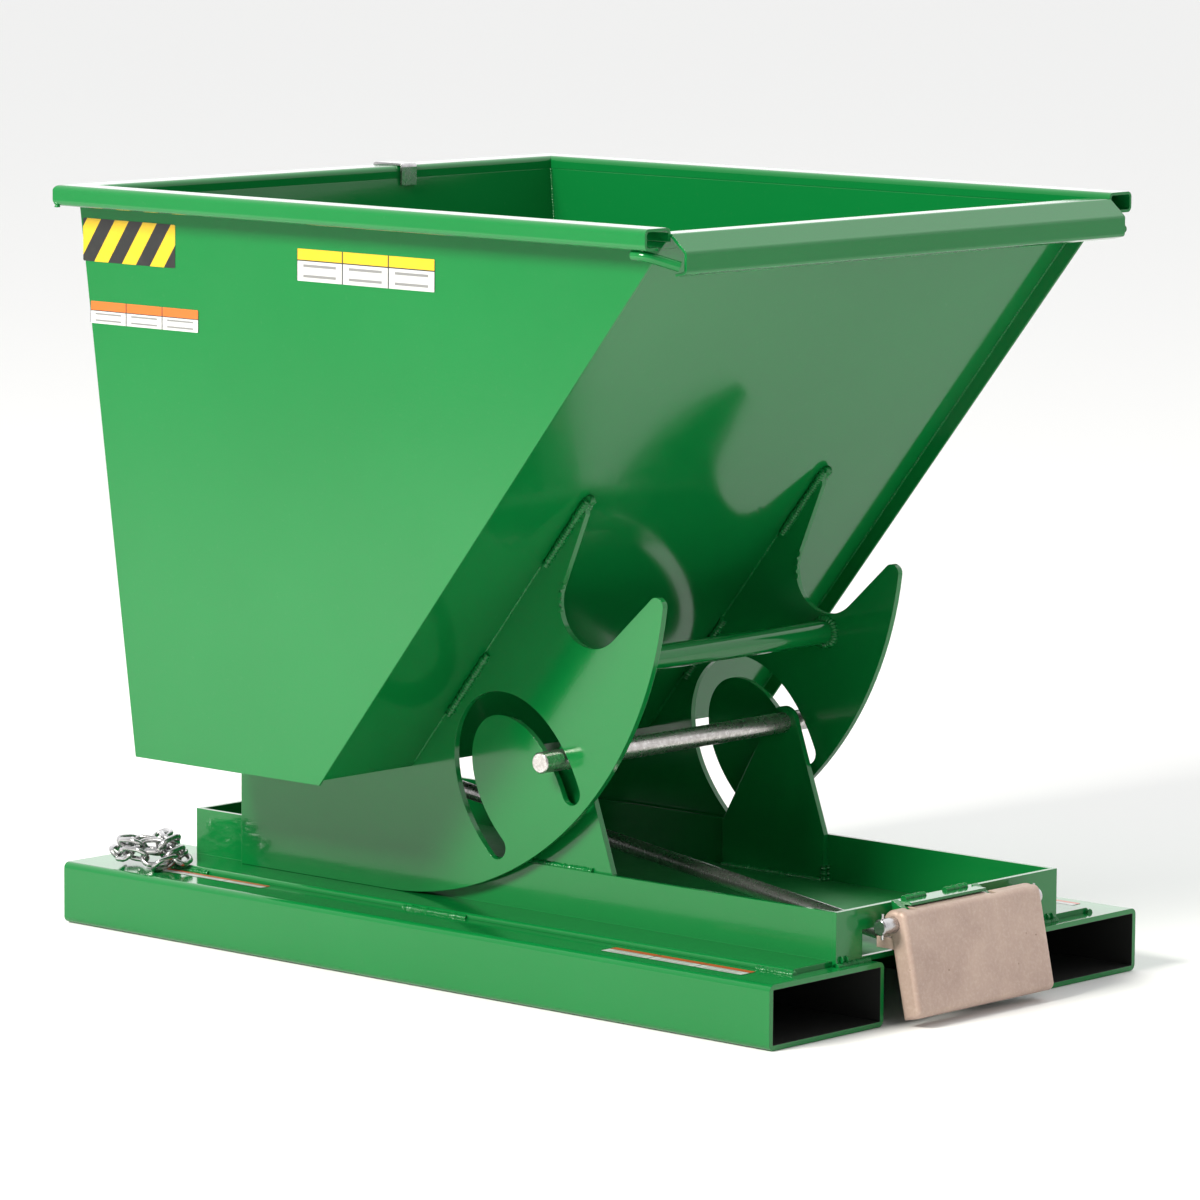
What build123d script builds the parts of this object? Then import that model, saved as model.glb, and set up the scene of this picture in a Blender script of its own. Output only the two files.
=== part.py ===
"""Self-dumping hopper for a forklift truck: a welded base with two fork tubes, and a tub on two
rockers that rolls forward along the base's rails until it has emptied over its front lip.

Frame: millimetres, +X the way the tub dumps, +Y to its left, +Z up, and the origin on the floor
at the middle of the overall length and width.
"""
from build123d import *
from math import atan2, cos, degrees, pi, radians, sin, sqrt
import os

os.makedirs("parts", exist_ok=True)

# ---- base: fork tubes, rails, tray -------------------------------------------------------
tube_length = 1156.0
tube_width = 203.2
tube_height = 76.2
tube_wall = 6.35
tube_corner = 8.0
tubes_overall = 681.0  # over the outer sides of both fork tubes
rail_thick = 6.35
rail_web_height = 63.5  # of the upright leg, from the tube tops
rail_foot_width = 76.2  # of the outward leg, with its thickness
rails_overall = 410.0  # over the outer faces of the upright legs
rail_toe_radius = 4.0
rail_rear_inset = 98.0  # from the tubes' rear ends
plate_thick = 6.35  # tray floor and end plates
front_plate_inset = 16.0  # of its front face, from the tubes' front ends

# ---- rolling geometry --------------------------------------------------------------------
roll_radius = 440.0
roll_centre_inset = 708.0  # behind the tubes' front ends, at rest
rail_gap = 0.3  # running gap between a rocker and its rail foot
roll_angle = 76.0  # degrees of dump
rocker_thick = 8.0
rocker_side_gap = 7.0  # between a rocker and the upright leg beside it
rocker_rear_inset = 964.0
horn_tip_radius = 11.0
horn_edge_angle = 42.7  # degrees above level
notch_inset = 382.8
notch_height = 460.7
notch_radius = 51.0
notch_edge_angle = 67.3  # degrees above level
rocker_tip_low = 568.0
rocker_tip_high = 586.0

# ---- guide rod, its uprights, and the cross tube -----------------------------------------
rod_diameter = 25.4
rod_inset = 434.0
rod_height = 272.0
rod_overhang = 33.0  # past each rocker's outer face
slot_clearance = 1.6  # radial, round the guide rod
slot_overrun_low = 7.0  # degrees of roll that the slot allows past rest
slot_overrun_high = 1.5  # degrees of roll that the slot allows past full dump
upright_thick = 8.0
upright_head_radius = 20.0
upright_front_inset = 366.0  # at the tray's floor
upright_rear_inset = 530.0
cross_tube_diameter = 30.0
cross_tube_wall = 3.0
cross_tube_inset = 386.0
cross_tube_height = 387.0

# ---- tub ---------------------------------------------------------------------------------
sheet = 3.4
tub_width = 810.0
tub_bottom = 238.0
side_front_inset = 649.0  # of the side sheets' front edges, at the bottom
side_front_slope = 0.7975  # forward run of the front edges per unit of height
side_rear_inset = 961.0  # of the side sheets' rear edges, at the bottom
side_rear_top_inset = 1056.0
front_sheet_recess = 24.0  # behind the side sheets' front edges, along X
rim_top = 931.0
rim_depth = 40.0  # outward from the sheets
rim_height = 25.0
rim_return = 22.0
rim_bend = 7.0
rim_rear_inset = 1061.0
rim_front_inset = 105.0
rim_seam = 16.0  # from the rim's top down to its seam with the sheet
lip_seam = 905.0
lip_shelf_height = 924.0
lip_shelf_inset = 104.0
lip_nose_inset = 81.0
lip_nose_high = 904.0
lip_nose_low = 880.0
lip_edge_inset = 97.0
lip_edge_height = 876.0
lip_bend = 5.0
corner_bar_diameter = 12.0
corner_bar_offset = 432.0  # of its rear part, from the centre plane
corner_bar_rear_inset = 134.0
corner_bar_bend_inset = 116.0
corner_bar_end_inset = 88.0
corner_bar_end_height = 888.0
patch_radius = 120.0  # round patch of each side sheet, about the rolling centre
patch_gap = 0.3

# ---- rim clip ----------------------------------------------------------------------------
clip_width = 27.0
clip_thick = 3.0
clip_bend = 5.0
clip_offset = 130.0  # of its middle, to the left
clip_outer_drop = 16.0
clip_inner_drop = 28.0
clip_slack = 1.6  # between the clip's inner leg and the rim

# ---- bumper and its hinge ----------------------------------------------------------------
bumper_pin_diameter = 19.0
bumper_pin_height = 118.0
bumper_pin_reach = 4.0  # ahead of the tubes' front ends
bumper_pin_overhang = 25.0  # past the right side of the bumper
bumper_pin_overhang_left = 14.0  # past the left side
bumper_width = 254.0
bumper_tilt = 12.4  # degrees that it leans out at rest
bumper_front = 19.5  # from the pin's axis to the front face
bumper_back = 7.5  # from the pin's axis to the back face
bumper_above = 14.6
bumper_below = 111.5
bumper_corner = 9.0
bumper_edge = 3.0
bumper_side_edge = 6.0
knuckle_radius = 17.0
knuckle_slot_depth = 20.0  # below the pin's axis
knuckle_slot_front = 14.5  # ahead of the pin's axis, short of the front face
pin_fit = 0.06  # radial running clearance on the pins and the latch shaft
seat_fit = 0.02  # radial clearance of the parts fixed on a bar
lug_offsets = (-101.0, 47.0)
lug_thick = 10.0
lug_radius = 13.0
lug_side_gap = 1.0
lug_root_low = 102.0
lug_root_high = 141.5
bridge_thick = 3.5
bridge_reach = 22.0
bridge_height = 136.5
cotter_diameter = 3.2
cotter_inset = 6.0
cotter_length = 30.0

# ---- release linkage ---------------------------------------------------------------------
push_arm_thick = 14.0
push_arm_low = 88.0
push_arm_high = 101.0
push_arm_offset = -115.0
push_arm_inset = 24.0  # of its tip
push_gap = 0.8  # between the release bar and what pushes it or is pushed by it
opening_right = -158.0
opening_left = -96.0
opening_high = 114.0
bar_diameter = 20.0
bar_front_inset = 25.0
bar_front_offset = -109.6
bar_front_height = 103.7
bar_side_run = 0.181  # to the left, per unit of length rearward
bar_rise = 0.0731  # per unit of length rearward
guide_thick = 8.0
guide_gap = 0.5
guide_half_width = 20.0
guide_insets = (90.0, 880.0)
latch_inset = 965.0
latch_height = 130.0
shaft_diameter = 19.0
shaft_right = -32.0
shaft_left = 98.0
bearing_offsets = (-20.0, 86.0)
bearing_thick = 8.0
bearing_radius = 20.0
latch_arm_thick = 14.0
latch_arm_front = 8.0  # of its front face, ahead of the shaft's axis
latch_arm_back = 8.0
latch_arm_top = 52.0  # above the shaft's axis
hook_thick = 12.0
hook_hub_radius = 17.0
hook_back = (-4.0, 62.0)
hook_back_radius = 13.0
hook_nose = (12.0, 80.0)
hook_nose_radius = 7.0
hook_clearance = 1.0  # from the path of the catch pin
spring_wire = 2.5
spring_gap = 0.3  # between the coil and the shaft
spring_turns = 5
spring_pitch = 3.4
spring_offset = 24.0
catch_pin_diameter = 14.0
catch_pin_ahead = 24.0  # ahead of the latch shaft
catch_pin_height = 192.0
catch_half_gap = 18.0
catch_ear_thick = 6.0
catch_ear_radius = 15.0

# ---- safety chain ------------------------------------------------------------------------
link_wire = 5.0
link_length = 38.0
link_width = 26.0
link_pitch = 22.0
link_lean = 50.0  # degrees of alternate links about the chain
coil_links = 8  # in one turn of the pile
chain_links = 15
coil_rise = 24.0  # per turn
chain_inset = 50.5  # of the pile's middle, ahead of the tubes' rear ends
chain_offset = -272.0  # of the pile's middle

# ---- values worked out from the ones above -----------------------------------------------
tilt = radians(bumper_tilt)
bumper_reach = (
    bumper_pin_reach
    + (bumper_front - bumper_corner) * cos(tilt)
    + (bumper_below - bumper_corner) * sin(tilt)
    + bumper_corner
)
x_front = (tube_length - bumper_reach) / 2
x_rear = x_front - tube_length

tube_offset = (tubes_overall - tube_width) / 2
rail_outer = rails_overall / 2
rail_inner = rail_outer - rail_thick
rail_toe = rail_inner + rail_foot_width
foot_top = tube_height + rail_thick
rail_top = tube_height + rail_web_height
plate_front = x_front - front_plate_inset
rail_front = plate_front - plate_thick
rail_rear = x_rear + rail_rear_inset
tray_top = tube_height + plate_thick

roll_x = x_front - roll_centre_inset
rocker_base = foot_top + rail_gap
roll_z = rocker_base + roll_radius
rocker_inner = rail_outer + rocker_side_gap
rocker_outer = rocker_inner + rocker_thick
rocker_rear = x_front - rocker_rear_inset
rod_x = x_front - rod_inset
rod_half = rocker_outer + rod_overhang

tub_half = tub_width / 2
tub_inner = tub_half - sheet
rim_outer = tub_half + rim_depth
rim_low = rim_top - rim_height
seam_z = rim_top - rim_seam
front_tilt = atan2(1, side_front_slope)  # of the front sheet, above level
sheet_run = sheet / sin(front_tilt)  # along X, through the front sheet
lip_seam_outer = lip_seam - sheet * cos(front_tilt)
rim_rear = x_front - rim_rear_inset
rim_front = x_front - rim_front_inset
rear_sheet_top = rim_rear + rim_depth

pin_x = x_front + bumper_pin_reach
pin_right = -bumper_width / 2 - bumper_pin_overhang
pin_left = bumper_width / 2 + bumper_pin_overhang_left
arm_tip = x_front - push_arm_inset
latch_x = x_front - latch_inset
catch_x = latch_x + catch_pin_ahead
bar_length_rate = sqrt(1 + bar_side_run**2 + bar_rise**2)
bar_lean = sqrt(bar_side_run**2 + bar_rise**2) / bar_length_rate
bar_edge = bar_diameter / 2 * bar_lean  # how far the rim of an end face stands past its middle
bar_front = arm_tip - push_gap - bar_edge
bar_rear = latch_x + latch_arm_front + push_gap + bar_edge


def edge_x(z):
    """X of the side sheets' sloping front edges at height z."""
    return x_front - side_front_inset + side_front_slope * (z - tub_bottom)


def front_x(z):
    """X of the front sheet's outer face at height z."""
    return edge_x(z) - front_sheet_recess


def rear_x(z):
    """X of the rear sheet's outer face at height z."""
    bottom = x_front - side_rear_inset
    return bottom + (rear_sheet_top - bottom) * (z - tub_bottom) / (seam_z - tub_bottom)


def polar(centre, radius, angle):
    return centre[0] + radius * cos(angle), centre[1] + radius * sin(angle)


def slot_edge(angle, turn):
    """Point of the slot's edge when the tub has rolled by angle, turned from the slot's heading.

    The guide rod stays where it is while the tub rolls, so the slot follows the rod's way through
    the rocker's own frame.
    """
    ahead = rod_x - roll_x - roll_radius * angle
    above = rod_height - roll_z
    centre = (
        roll_x + ahead * cos(angle) - above * sin(angle),
        roll_z + ahead * sin(angle) + above * cos(angle),
    )
    run_x = -(roll_radius + above) * cos(angle) - ahead * sin(angle)
    run_z = -(roll_radius + above) * sin(angle) + ahead * cos(angle)
    return polar(centre, rod_diameter / 2 + slot_clearance, atan2(run_z, run_x) + turn)


def bar_point(x):
    """Point of the release bar's axis at x."""
    back = x_front - bar_front_inset - x
    return Vector(x, bar_front_offset + bar_side_run * back, bar_front_height + bar_rise * back)


def side_plane(y):
    """Upright plane at y, with its own x and y along X and Z; an extrusion from it goes to -Y."""
    return Plane(origin=(0, y, 0), x_dir=(1, 0, 0), z_dir=(0, -1, 0))


def outer_plane(sign, inner, outer):
    """Side plane on the +Y face of a plate that stands between two offsets on one side."""
    return side_plane(outer if sign > 0 else -inner)


def save(part, name):
    part.label = name
    export_step(part, f"parts/{name}.step")


sides = (("right", -1), ("left", 1))

# ---- fork tubes --------------------------------------------------------------------------
for side, sign in sides:
    with BuildPart() as fork_tube:
        with BuildSketch(Plane.YZ.offset(x_rear)):
            with Locations((sign * tube_offset, tube_height / 2)):
                RectangleRounded(tube_width, tube_height, tube_corner)
                RectangleRounded(
                    tube_width - 2 * tube_wall,
                    tube_height - 2 * tube_wall,
                    tube_corner - tube_wall,
                    mode=Mode.SUBTRACT,
                )
        extrude(amount=tube_length)
    save(fork_tube.part, f"fork_tube_{side}")

# ---- rails: an angle on each fork tube, foot outward -------------------------------------
for side, sign in sides:
    with BuildPart() as rail:
        with BuildSketch(Plane.YZ.offset(rail_rear)) as rail_section:
            with BuildLine():
                Polyline(
                    (sign * rail_inner, tube_height),
                    (sign * rail_inner, rail_top),
                    (sign * rail_outer, rail_top),
                    (sign * rail_outer, foot_top),
                    (sign * rail_toe, foot_top),
                    (sign * rail_toe, tube_height),
                    close=True,
                )
            make_face()
            toe = (sign * rail_toe, foot_top)
            fillet(rail_section.vertices().sort_by_distance(toe)[0], radius=rail_toe_radius)
        extrude(amount=rail_front - rail_rear)
    save(rail.part, f"rail_{side}")

# ---- tray between the rails --------------------------------------------------------------
with BuildPart() as tray_floor:
    with BuildSketch(Plane.XY.offset(tube_height)):
        with Locations(((rail_front + rail_rear + plate_thick) / 2, 0)):
            Rectangle(rail_front - rail_rear - plate_thick, 2 * rail_inner)
    extrude(amount=plate_thick)
save(tray_floor.part, "tray_floor")

with BuildPart() as front_plate:
    with BuildSketch(Plane.YZ.offset(rail_front)):
        with Locations((0, (tube_height + rail_top) / 2)):
            Rectangle(2 * rail_outer, rail_top - tube_height)
        with Locations(((opening_left + opening_right) / 2, (tray_top + opening_high) / 2)):
            Rectangle(opening_left - opening_right, opening_high - tray_top, mode=Mode.SUBTRACT)
    extrude(amount=plate_thick)
save(front_plate.part, "front_plate")

with BuildPart() as rear_plate:
    with BuildSketch(Plane.YZ.offset(rail_rear)):
        with Locations((0, (tube_height + rail_top) / 2)):
            Rectangle(2 * rail_inner, rail_top - tube_height)
    extrude(amount=plate_thick)
save(rear_plate.part, "rear_plate")

# ---- uprights and the guide rod ----------------------------------------------------------
upright_middle = (upright_front_inset + upright_rear_inset) / 2
for side, sign in sides:
    plane = outer_plane(sign, rail_inner - upright_thick, rail_inner)
    with BuildPart() as upright:
        with BuildSketch(plane):
            with Locations((rod_x, rod_height)):
                Circle(upright_head_radius)
            with Locations((x_front - upright_middle, tray_top)):
                Rectangle(
                    upright_rear_inset - upright_front_inset,
                    rail_top - tray_top,
                    align=(Align.CENTER, Align.MIN),
                )
            make_hull()
            with Locations((rod_x, rod_height)):
                Circle(rod_diameter / 2 + seat_fit, mode=Mode.SUBTRACT)
        extrude(amount=upright_thick)
    save(upright.part, f"upright_{side}")

with BuildPart() as guide_rod:
    with BuildSketch(side_plane(rod_half)):
        with Locations((rod_x, rod_height)):
            Circle(rod_diameter / 2)
    extrude(amount=2 * rod_half)
    chamfer(guide_rod.edges().filter_by(GeomType.CIRCLE), length=1.5)
save(guide_rod.part, "guide_rod")

# ---- bumper hinge on the front plate -----------------------------------------------------
with BuildPart() as bumper_lugs:
    for offset_y in lug_offsets:
        with BuildSketch(side_plane(offset_y + lug_thick / 2)):
            with Locations((pin_x, bumper_pin_height)):
                Circle(lug_radius)
            with Locations((plate_front, lug_root_low)):
                Rectangle(1, lug_root_high - lug_root_low, align=(Align.MIN, Align.MIN))
            make_hull()
            with Locations((pin_x, bumper_pin_height)):
                Circle(bumper_pin_diameter / 2 + seat_fit, mode=Mode.SUBTRACT)
        extrude(amount=lug_thick)
save(bumper_lugs.part, "bumper_lugs")

with BuildPart() as lug_bridge:
    with BuildSketch(Plane.XY.offset(bridge_height)):
        with Locations((plate_front, lug_offsets[0] + lug_thick / 2)):
            Rectangle(
                bridge_reach,
                lug_offsets[1] - lug_offsets[0] - lug_thick,
                align=(Align.MIN, Align.MIN),
            )
    extrude(amount=bridge_thick)
save(lug_bridge.part, "lug_bridge")

cotter_places = [
    (pin_x, pin_right + cotter_inset, bumper_pin_height),
    (pin_x, pin_left - cotter_inset, bumper_pin_height),
]
with BuildPart() as bumper_pin:
    with BuildSketch(side_plane(pin_left)):
        with Locations((pin_x, bumper_pin_height)):
            Circle(bumper_pin_diameter / 2)
    extrude(amount=pin_left - pin_right)
    chamfer(bumper_pin.edges().filter_by(GeomType.CIRCLE), length=1.2)
    with Locations(cotter_places):
        Cylinder(cotter_diameter / 2 + seat_fit, 2 * bumper_pin_diameter, mode=Mode.SUBTRACT)
save(bumper_pin.part, "bumper_pin")

with BuildPart() as bumper_cotters:
    with Locations(cotter_places):
        Cylinder(cotter_diameter / 2, cotter_length)
save(bumper_cotters.part, "bumper_cotters")

# ---- bumper ------------------------------------------------------------------------------
bumper_plane = Plane(
    origin=(pin_x, bumper_width / 2, bumper_pin_height),
    x_dir=(cos(tilt), 0, sin(tilt)),
    z_dir=(0, -1, 0),
)
slot_width = lug_thick + 2 * lug_side_gap
with BuildPart() as bumper_block:
    with BuildSketch(bumper_plane) as bumper_section:
        with Locations((-bumper_back, -bumper_below)):
            Rectangle(
                bumper_front + bumper_back,
                bumper_above + bumper_below,
                align=(Align.MIN, Align.MIN),
            )
        front_corners = bumper_section.vertices().group_by(Axis.X)[-1]
        back_corner = bumper_section.vertices().sort_by_distance((-bumper_back, -bumper_below))[0]
        fillet(front_corners, radius=bumper_corner)
        fillet(back_corner, radius=bumper_edge)
        Circle(knuckle_radius)
    extrude(amount=bumper_width)
    fillet(bumper_block.faces().filter_by(Axis.Y).edges(), radius=bumper_side_edge)
    with BuildSketch(bumper_plane):
        Circle(bumper_pin_diameter / 2 + pin_fit)
    extrude(amount=bumper_width, mode=Mode.SUBTRACT)
    for offset_y in lug_offsets:
        with BuildSketch(bumper_plane.offset(bumper_width / 2 - offset_y - slot_width / 2)):
            with Locations((knuckle_slot_front, -knuckle_slot_depth)):
                Rectangle(2 * bumper_front, bumper_below, align=(Align.MAX, Align.MIN))
        extrude(amount=slot_width, mode=Mode.SUBTRACT)
save(bumper_block.part, "bumper_block")

with BuildPart() as push_arm:
    with BuildSketch(side_plane(push_arm_offset + push_arm_thick / 2)):
        arm_height = push_arm_high - push_arm_low
        with Locations((arm_tip, push_arm_low)):
            Rectangle(2 * push_arm_inset, arm_height, align=(Align.MIN, Align.MIN))
        with Locations(Location((pin_x, bumper_pin_height), bumper_tilt)):
            with Locations((-bumper_back, 0)):
                Rectangle(
                    2 * push_arm_inset,
                    2 * bumper_below,
                    align=(Align.MIN, Align.CENTER),
                    mode=Mode.SUBTRACT,
                )
    extrude(amount=push_arm_thick)
save(push_arm.part, "push_arm")

# ---- release bar and its guides ----------------------------------------------------------
bar_start = bar_point(bar_front)
bar_end = bar_point(bar_rear)
bar_plane = Plane(origin=bar_start, z_dir=bar_end - bar_start)
with BuildPart() as release_bar:
    with BuildSketch(bar_plane):
        Circle(bar_diameter / 2)
    extrude(amount=(bar_end - bar_start).length)
save(release_bar.part, "release_bar")

with BuildPart() as bar_guides:
    for inset in guide_insets:
        middle = bar_point(x_front - inset)
        with BuildSketch(Plane.YZ.offset(middle.X - guide_thick / 2)):
            with Locations((middle.Y, tray_top)):
                Rectangle(
                    2 * guide_half_width,
                    middle.Z - tray_top,
                    align=(Align.CENTER, Align.MIN),
                )
        extrude(amount=guide_thick)
    with BuildSketch(bar_plane):
        Circle(bar_diameter / 2 + guide_gap)
    extrude(amount=(bar_end - bar_start).length, mode=Mode.SUBTRACT)
save(bar_guides.part, "bar_guides")

# ---- latch -------------------------------------------------------------------------------
with BuildPart() as latch_bearings:
    for offset_y in bearing_offsets:
        with BuildSketch(side_plane(offset_y + bearing_thick / 2)):
            with Locations((latch_x, latch_height)):
                Circle(bearing_radius)
            with Locations((latch_x, tray_top)):
                Rectangle(3 * bearing_radius, 2, align=(Align.CENTER, Align.MIN))
            make_hull()
            with Locations((latch_x, latch_height)):
                Circle(shaft_diameter / 2 + pin_fit, mode=Mode.SUBTRACT)
        extrude(amount=bearing_thick)
save(latch_bearings.part, "latch_bearings")

with BuildPart() as latch_shaft:
    with BuildSketch(side_plane(shaft_left)):
        with Locations((latch_x, latch_height)):
            Circle(shaft_diameter / 2)
    extrude(amount=shaft_left - shaft_right)
    chamfer(latch_shaft.edges().filter_by(GeomType.CIRCLE), length=1.2)
save(latch_shaft.part, "latch_shaft")

spring_radius = shaft_diameter / 2 + spring_gap + spring_wire / 2
with BuildPart() as latch_spring:
    with BuildLine() as spring_path:
        Helix(
            pitch=spring_pitch,
            height=spring_turns * spring_pitch,
            radius=spring_radius,
            center=(latch_x, spring_offset, latch_height),
            direction=(0, 1, 0),
        )
    with BuildSketch(spring_path.line ^ 0):
        Circle(spring_wire / 2)
    sweep(is_frenet=True)
save(latch_spring.part, "latch_spring")

with BuildPart() as latch_arm:
    with BuildSketch(side_plane(bar_end.Y + latch_arm_thick / 2)) as arm_outline:
        with Locations((latch_x, latch_height)):
            Circle(hook_hub_radius)
        with Locations((latch_x - latch_arm_back, latch_height)):
            Rectangle(
                latch_arm_front + latch_arm_back,
                latch_arm_top,
                align=(Align.MIN, Align.MIN),
            )
        fillet(arm_outline.vertices().group_by(Axis.Y)[-1].sort_by(Axis.X)[0], radius=6)
        with Locations((latch_x, latch_height)):
            Circle(shaft_diameter / 2 + seat_fit, mode=Mode.SUBTRACT)
    extrude(amount=latch_arm_thick)
save(latch_arm.part, "latch_arm")

# Rolling about the contact line carries the catch pin up and forward at this angle.
catch_path = atan2(roll_x - catch_x, catch_pin_height - rocker_base)
with BuildPart() as latch_hook:
    with BuildSketch(side_plane(hook_thick / 2)):
        with Locations((latch_x, latch_height)):
            Circle(hook_hub_radius)
        with Locations((latch_x + hook_back[0], latch_height + hook_back[1])):
            Circle(hook_back_radius)
        with Locations((latch_x + hook_nose[0], latch_height + hook_nose[1])):
            Circle(hook_nose_radius)
        make_hull()
        with Locations(Location((catch_x, catch_pin_height), degrees(catch_path))):
            SlotCenterPoint(
                (0, 0),
                (tube_height / 2, 0),
                catch_pin_diameter + 2 * hook_clearance,
                mode=Mode.SUBTRACT,
            )
        with Locations((latch_x, latch_height)):
            Circle(shaft_diameter / 2 + seat_fit, mode=Mode.SUBTRACT)
    extrude(amount=hook_thick)
save(latch_hook.part, "latch_hook")

# ---- tub sheets --------------------------------------------------------------------------
for side, sign in sides:
    plane = outer_plane(sign, tub_inner, tub_half)
    with BuildPart() as side_sheet:
        with BuildSketch(plane):
            with BuildLine():
                Polyline(
                    (x_front - side_rear_inset, tub_bottom),
                    (x_front - side_rear_top_inset, rim_low),
                    (rear_sheet_top, rim_low),
                    (rear_sheet_top, seam_z),
                    (edge_x(seam_z), seam_z),
                    (edge_x(tub_bottom), tub_bottom),
                    close=True,
                )
            make_face()
            with Locations((roll_x, roll_z)):
                Circle(patch_radius + patch_gap, mode=Mode.SUBTRACT)
        extrude(amount=sheet)
    save(side_sheet.part, f"side_sheet_{side}")

    with BuildPart() as side_patch:
        with BuildSketch(plane):
            with Locations((roll_x, roll_z)):
                Circle(patch_radius)
        extrude(amount=sheet)
    save(side_patch.part, f"side_patch_{side}")

floor_top = tub_bottom + sheet
inner_plane = side_plane(tub_inner)
with BuildPart() as bottom_sheet:
    with BuildSketch(inner_plane):
        with BuildLine():
            Polyline(
                (rear_x(tub_bottom), tub_bottom),
                (front_x(tub_bottom), tub_bottom),
                (front_x(floor_top), floor_top),
                (rear_x(floor_top), floor_top),
                close=True,
            )
        make_face()
    extrude(amount=2 * tub_inner)
save(bottom_sheet.part, "bottom_sheet")

with BuildPart() as front_sheet:
    with BuildSketch(inner_plane):
        with BuildLine():
            Polyline(
                (front_x(floor_top), floor_top),
                (front_x(lip_seam_outer), lip_seam_outer),
                (front_x(lip_seam) - sheet_run, lip_seam),
                (front_x(floor_top) - sheet_run, floor_top),
                close=True,
            )
        make_face()
    extrude(amount=2 * tub_inner)
save(front_sheet.part, "front_sheet")

with BuildPart() as rear_sheet:
    with BuildSketch(inner_plane):
        with BuildLine():
            Polyline(
                (rear_x(floor_top), floor_top),
                (rear_x(seam_z), seam_z),
                (rear_x(seam_z) + sheet, seam_z),
                (rear_x(floor_top) + sheet, floor_top),
                close=True,
            )
        make_face()
    extrude(amount=2 * tub_inner)
save(rear_sheet.part, "rear_sheet")

# ---- pouring lip -------------------------------------------------------------------------
with BuildPart() as pouring_lip:
    with BuildSketch(inner_plane):
        with BuildLine():
            FilletPolyline(
                (front_x(lip_seam) - sheet_run, lip_seam),
                (front_x(lip_shelf_height) - sheet_run, lip_shelf_height),
                (x_front - lip_shelf_inset, lip_shelf_height),
                (x_front - lip_nose_inset, lip_nose_high),
                (x_front - lip_nose_inset, lip_nose_low),
                (x_front - lip_edge_inset, lip_edge_height),
                radius=lip_bend,
            )
            offset(amount=sheet, side=Side.RIGHT)
        make_face()
    extrude(amount=2 * tub_inner)
save(pouring_lip.part, "pouring_lip")

# ---- rolled rims -------------------------------------------------------------------------
for side, sign in sides:
    with BuildPart() as rim:
        with BuildSketch(Plane.YZ.offset(rim_rear)):
            with BuildLine():
                FilletPolyline(
                    (sign * tub_inner, seam_z),
                    (sign * tub_inner, rim_top),
                    (sign * rim_outer, rim_top),
                    (sign * rim_outer, rim_low),
                    (sign * (rim_outer - rim_return), rim_low),
                    radius=rim_bend,
                )
                offset(amount=sheet, side=Side.RIGHT if sign > 0 else Side.LEFT)
            make_face()
        extrude(amount=rim_front - rim_rear)
        mitre = Plane(origin=(rim_rear, sign * rim_outer, 0), z_dir=(1, sign, 0))
        split(bisect_by=mitre, keep=Keep.TOP)
    save(rim.part, f"rim_{side}")

with BuildPart() as rim_rear_side:
    with BuildSketch(Plane(origin=(0, rim_outer, 0), x_dir=(1, 0, 0), z_dir=(0, -1, 0))):
        with BuildLine():
            FilletPolyline(
                (rear_sheet_top + sheet, seam_z),
                (rear_sheet_top + sheet, rim_top),
                (rim_rear, rim_top),
                (rim_rear, rim_low),
                (rim_rear + rim_return, rim_low),
                radius=rim_bend,
            )
            offset(amount=sheet, side=Side.LEFT)
        make_face()
    extrude(amount=2 * rim_outer)
    for side, sign in sides:
        mitre = Plane(origin=(rim_rear, sign * rim_outer, 0), z_dir=(1, sign, 0))
        split(bisect_by=mitre, keep=Keep.BOTTOM)
save(rim_rear_side.part, "rim_rear")

# ---- bars between the rims' front ends and the lip ---------------------------------------
bar_height = rim_low - corner_bar_diameter / 2
for side, sign in sides:
    with BuildPart() as corner_bar:
        with BuildLine() as bar_path:
            FilletPolyline(
                (x_front - corner_bar_rear_inset, sign * corner_bar_offset, bar_height),
                (x_front - corner_bar_bend_inset, sign * corner_bar_offset, bar_height),
                (
                    x_front - corner_bar_end_inset,
                    sign * (tub_inner + corner_bar_diameter / 4),
                    corner_bar_end_height,
                ),
                radius=2 * corner_bar_diameter,
            )
        with BuildSketch(bar_path.line ^ 0):
            Circle(corner_bar_diameter / 2)
        sweep()
        with BuildSketch(inner_plane):
            Rectangle(tube_length * 2, tube_length * 2)
        extrude(amount=2 * tub_inner, mode=Mode.SUBTRACT)
    save(corner_bar.part, f"corner_bar_{side}")

# ---- rockers and the tube between them ---------------------------------------------------
roll_centre = (roll_x, roll_z)
horn = radians(horn_edge_angle)
notch = radians(notch_edge_angle)
notch_centre = (x_front - notch_inset, notch_height)
horn_root = polar(notch_centre, notch_radius, horn - pi / 2)
notch_middle = polar(notch_centre, notch_radius, (horn + notch) / 2 - pi)
notch_top = polar(notch_centre, notch_radius, notch + pi / 2)
along = (horn_root[0] - roll_x) * cos(horn) + (horn_root[1] - roll_z) * sin(horn)
off_square = (horn_root[0] - roll_x) ** 2 + (horn_root[1] - roll_z) ** 2 - roll_radius**2
horn_corner = polar(horn_root, sqrt(along**2 - off_square) - along, horn)
horn_bearing = atan2(horn_corner[1] - roll_z, horn_corner[0] - roll_x)
tip_run = (rocker_tip_low - notch_top[1]) / sin(notch)
slot_start = radians(-slot_overrun_low)
slot_end = radians(roll_angle + slot_overrun_high)
slot_steps = 16
slot_angles = [
    slot_start + (slot_end - slot_start) * i / slot_steps for i in range(slot_steps + 1)
]
slot_left = [slot_edge(angle, pi / 2) for angle in slot_angles]
slot_right = [slot_edge(angle, -pi / 2) for angle in slot_angles]

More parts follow.
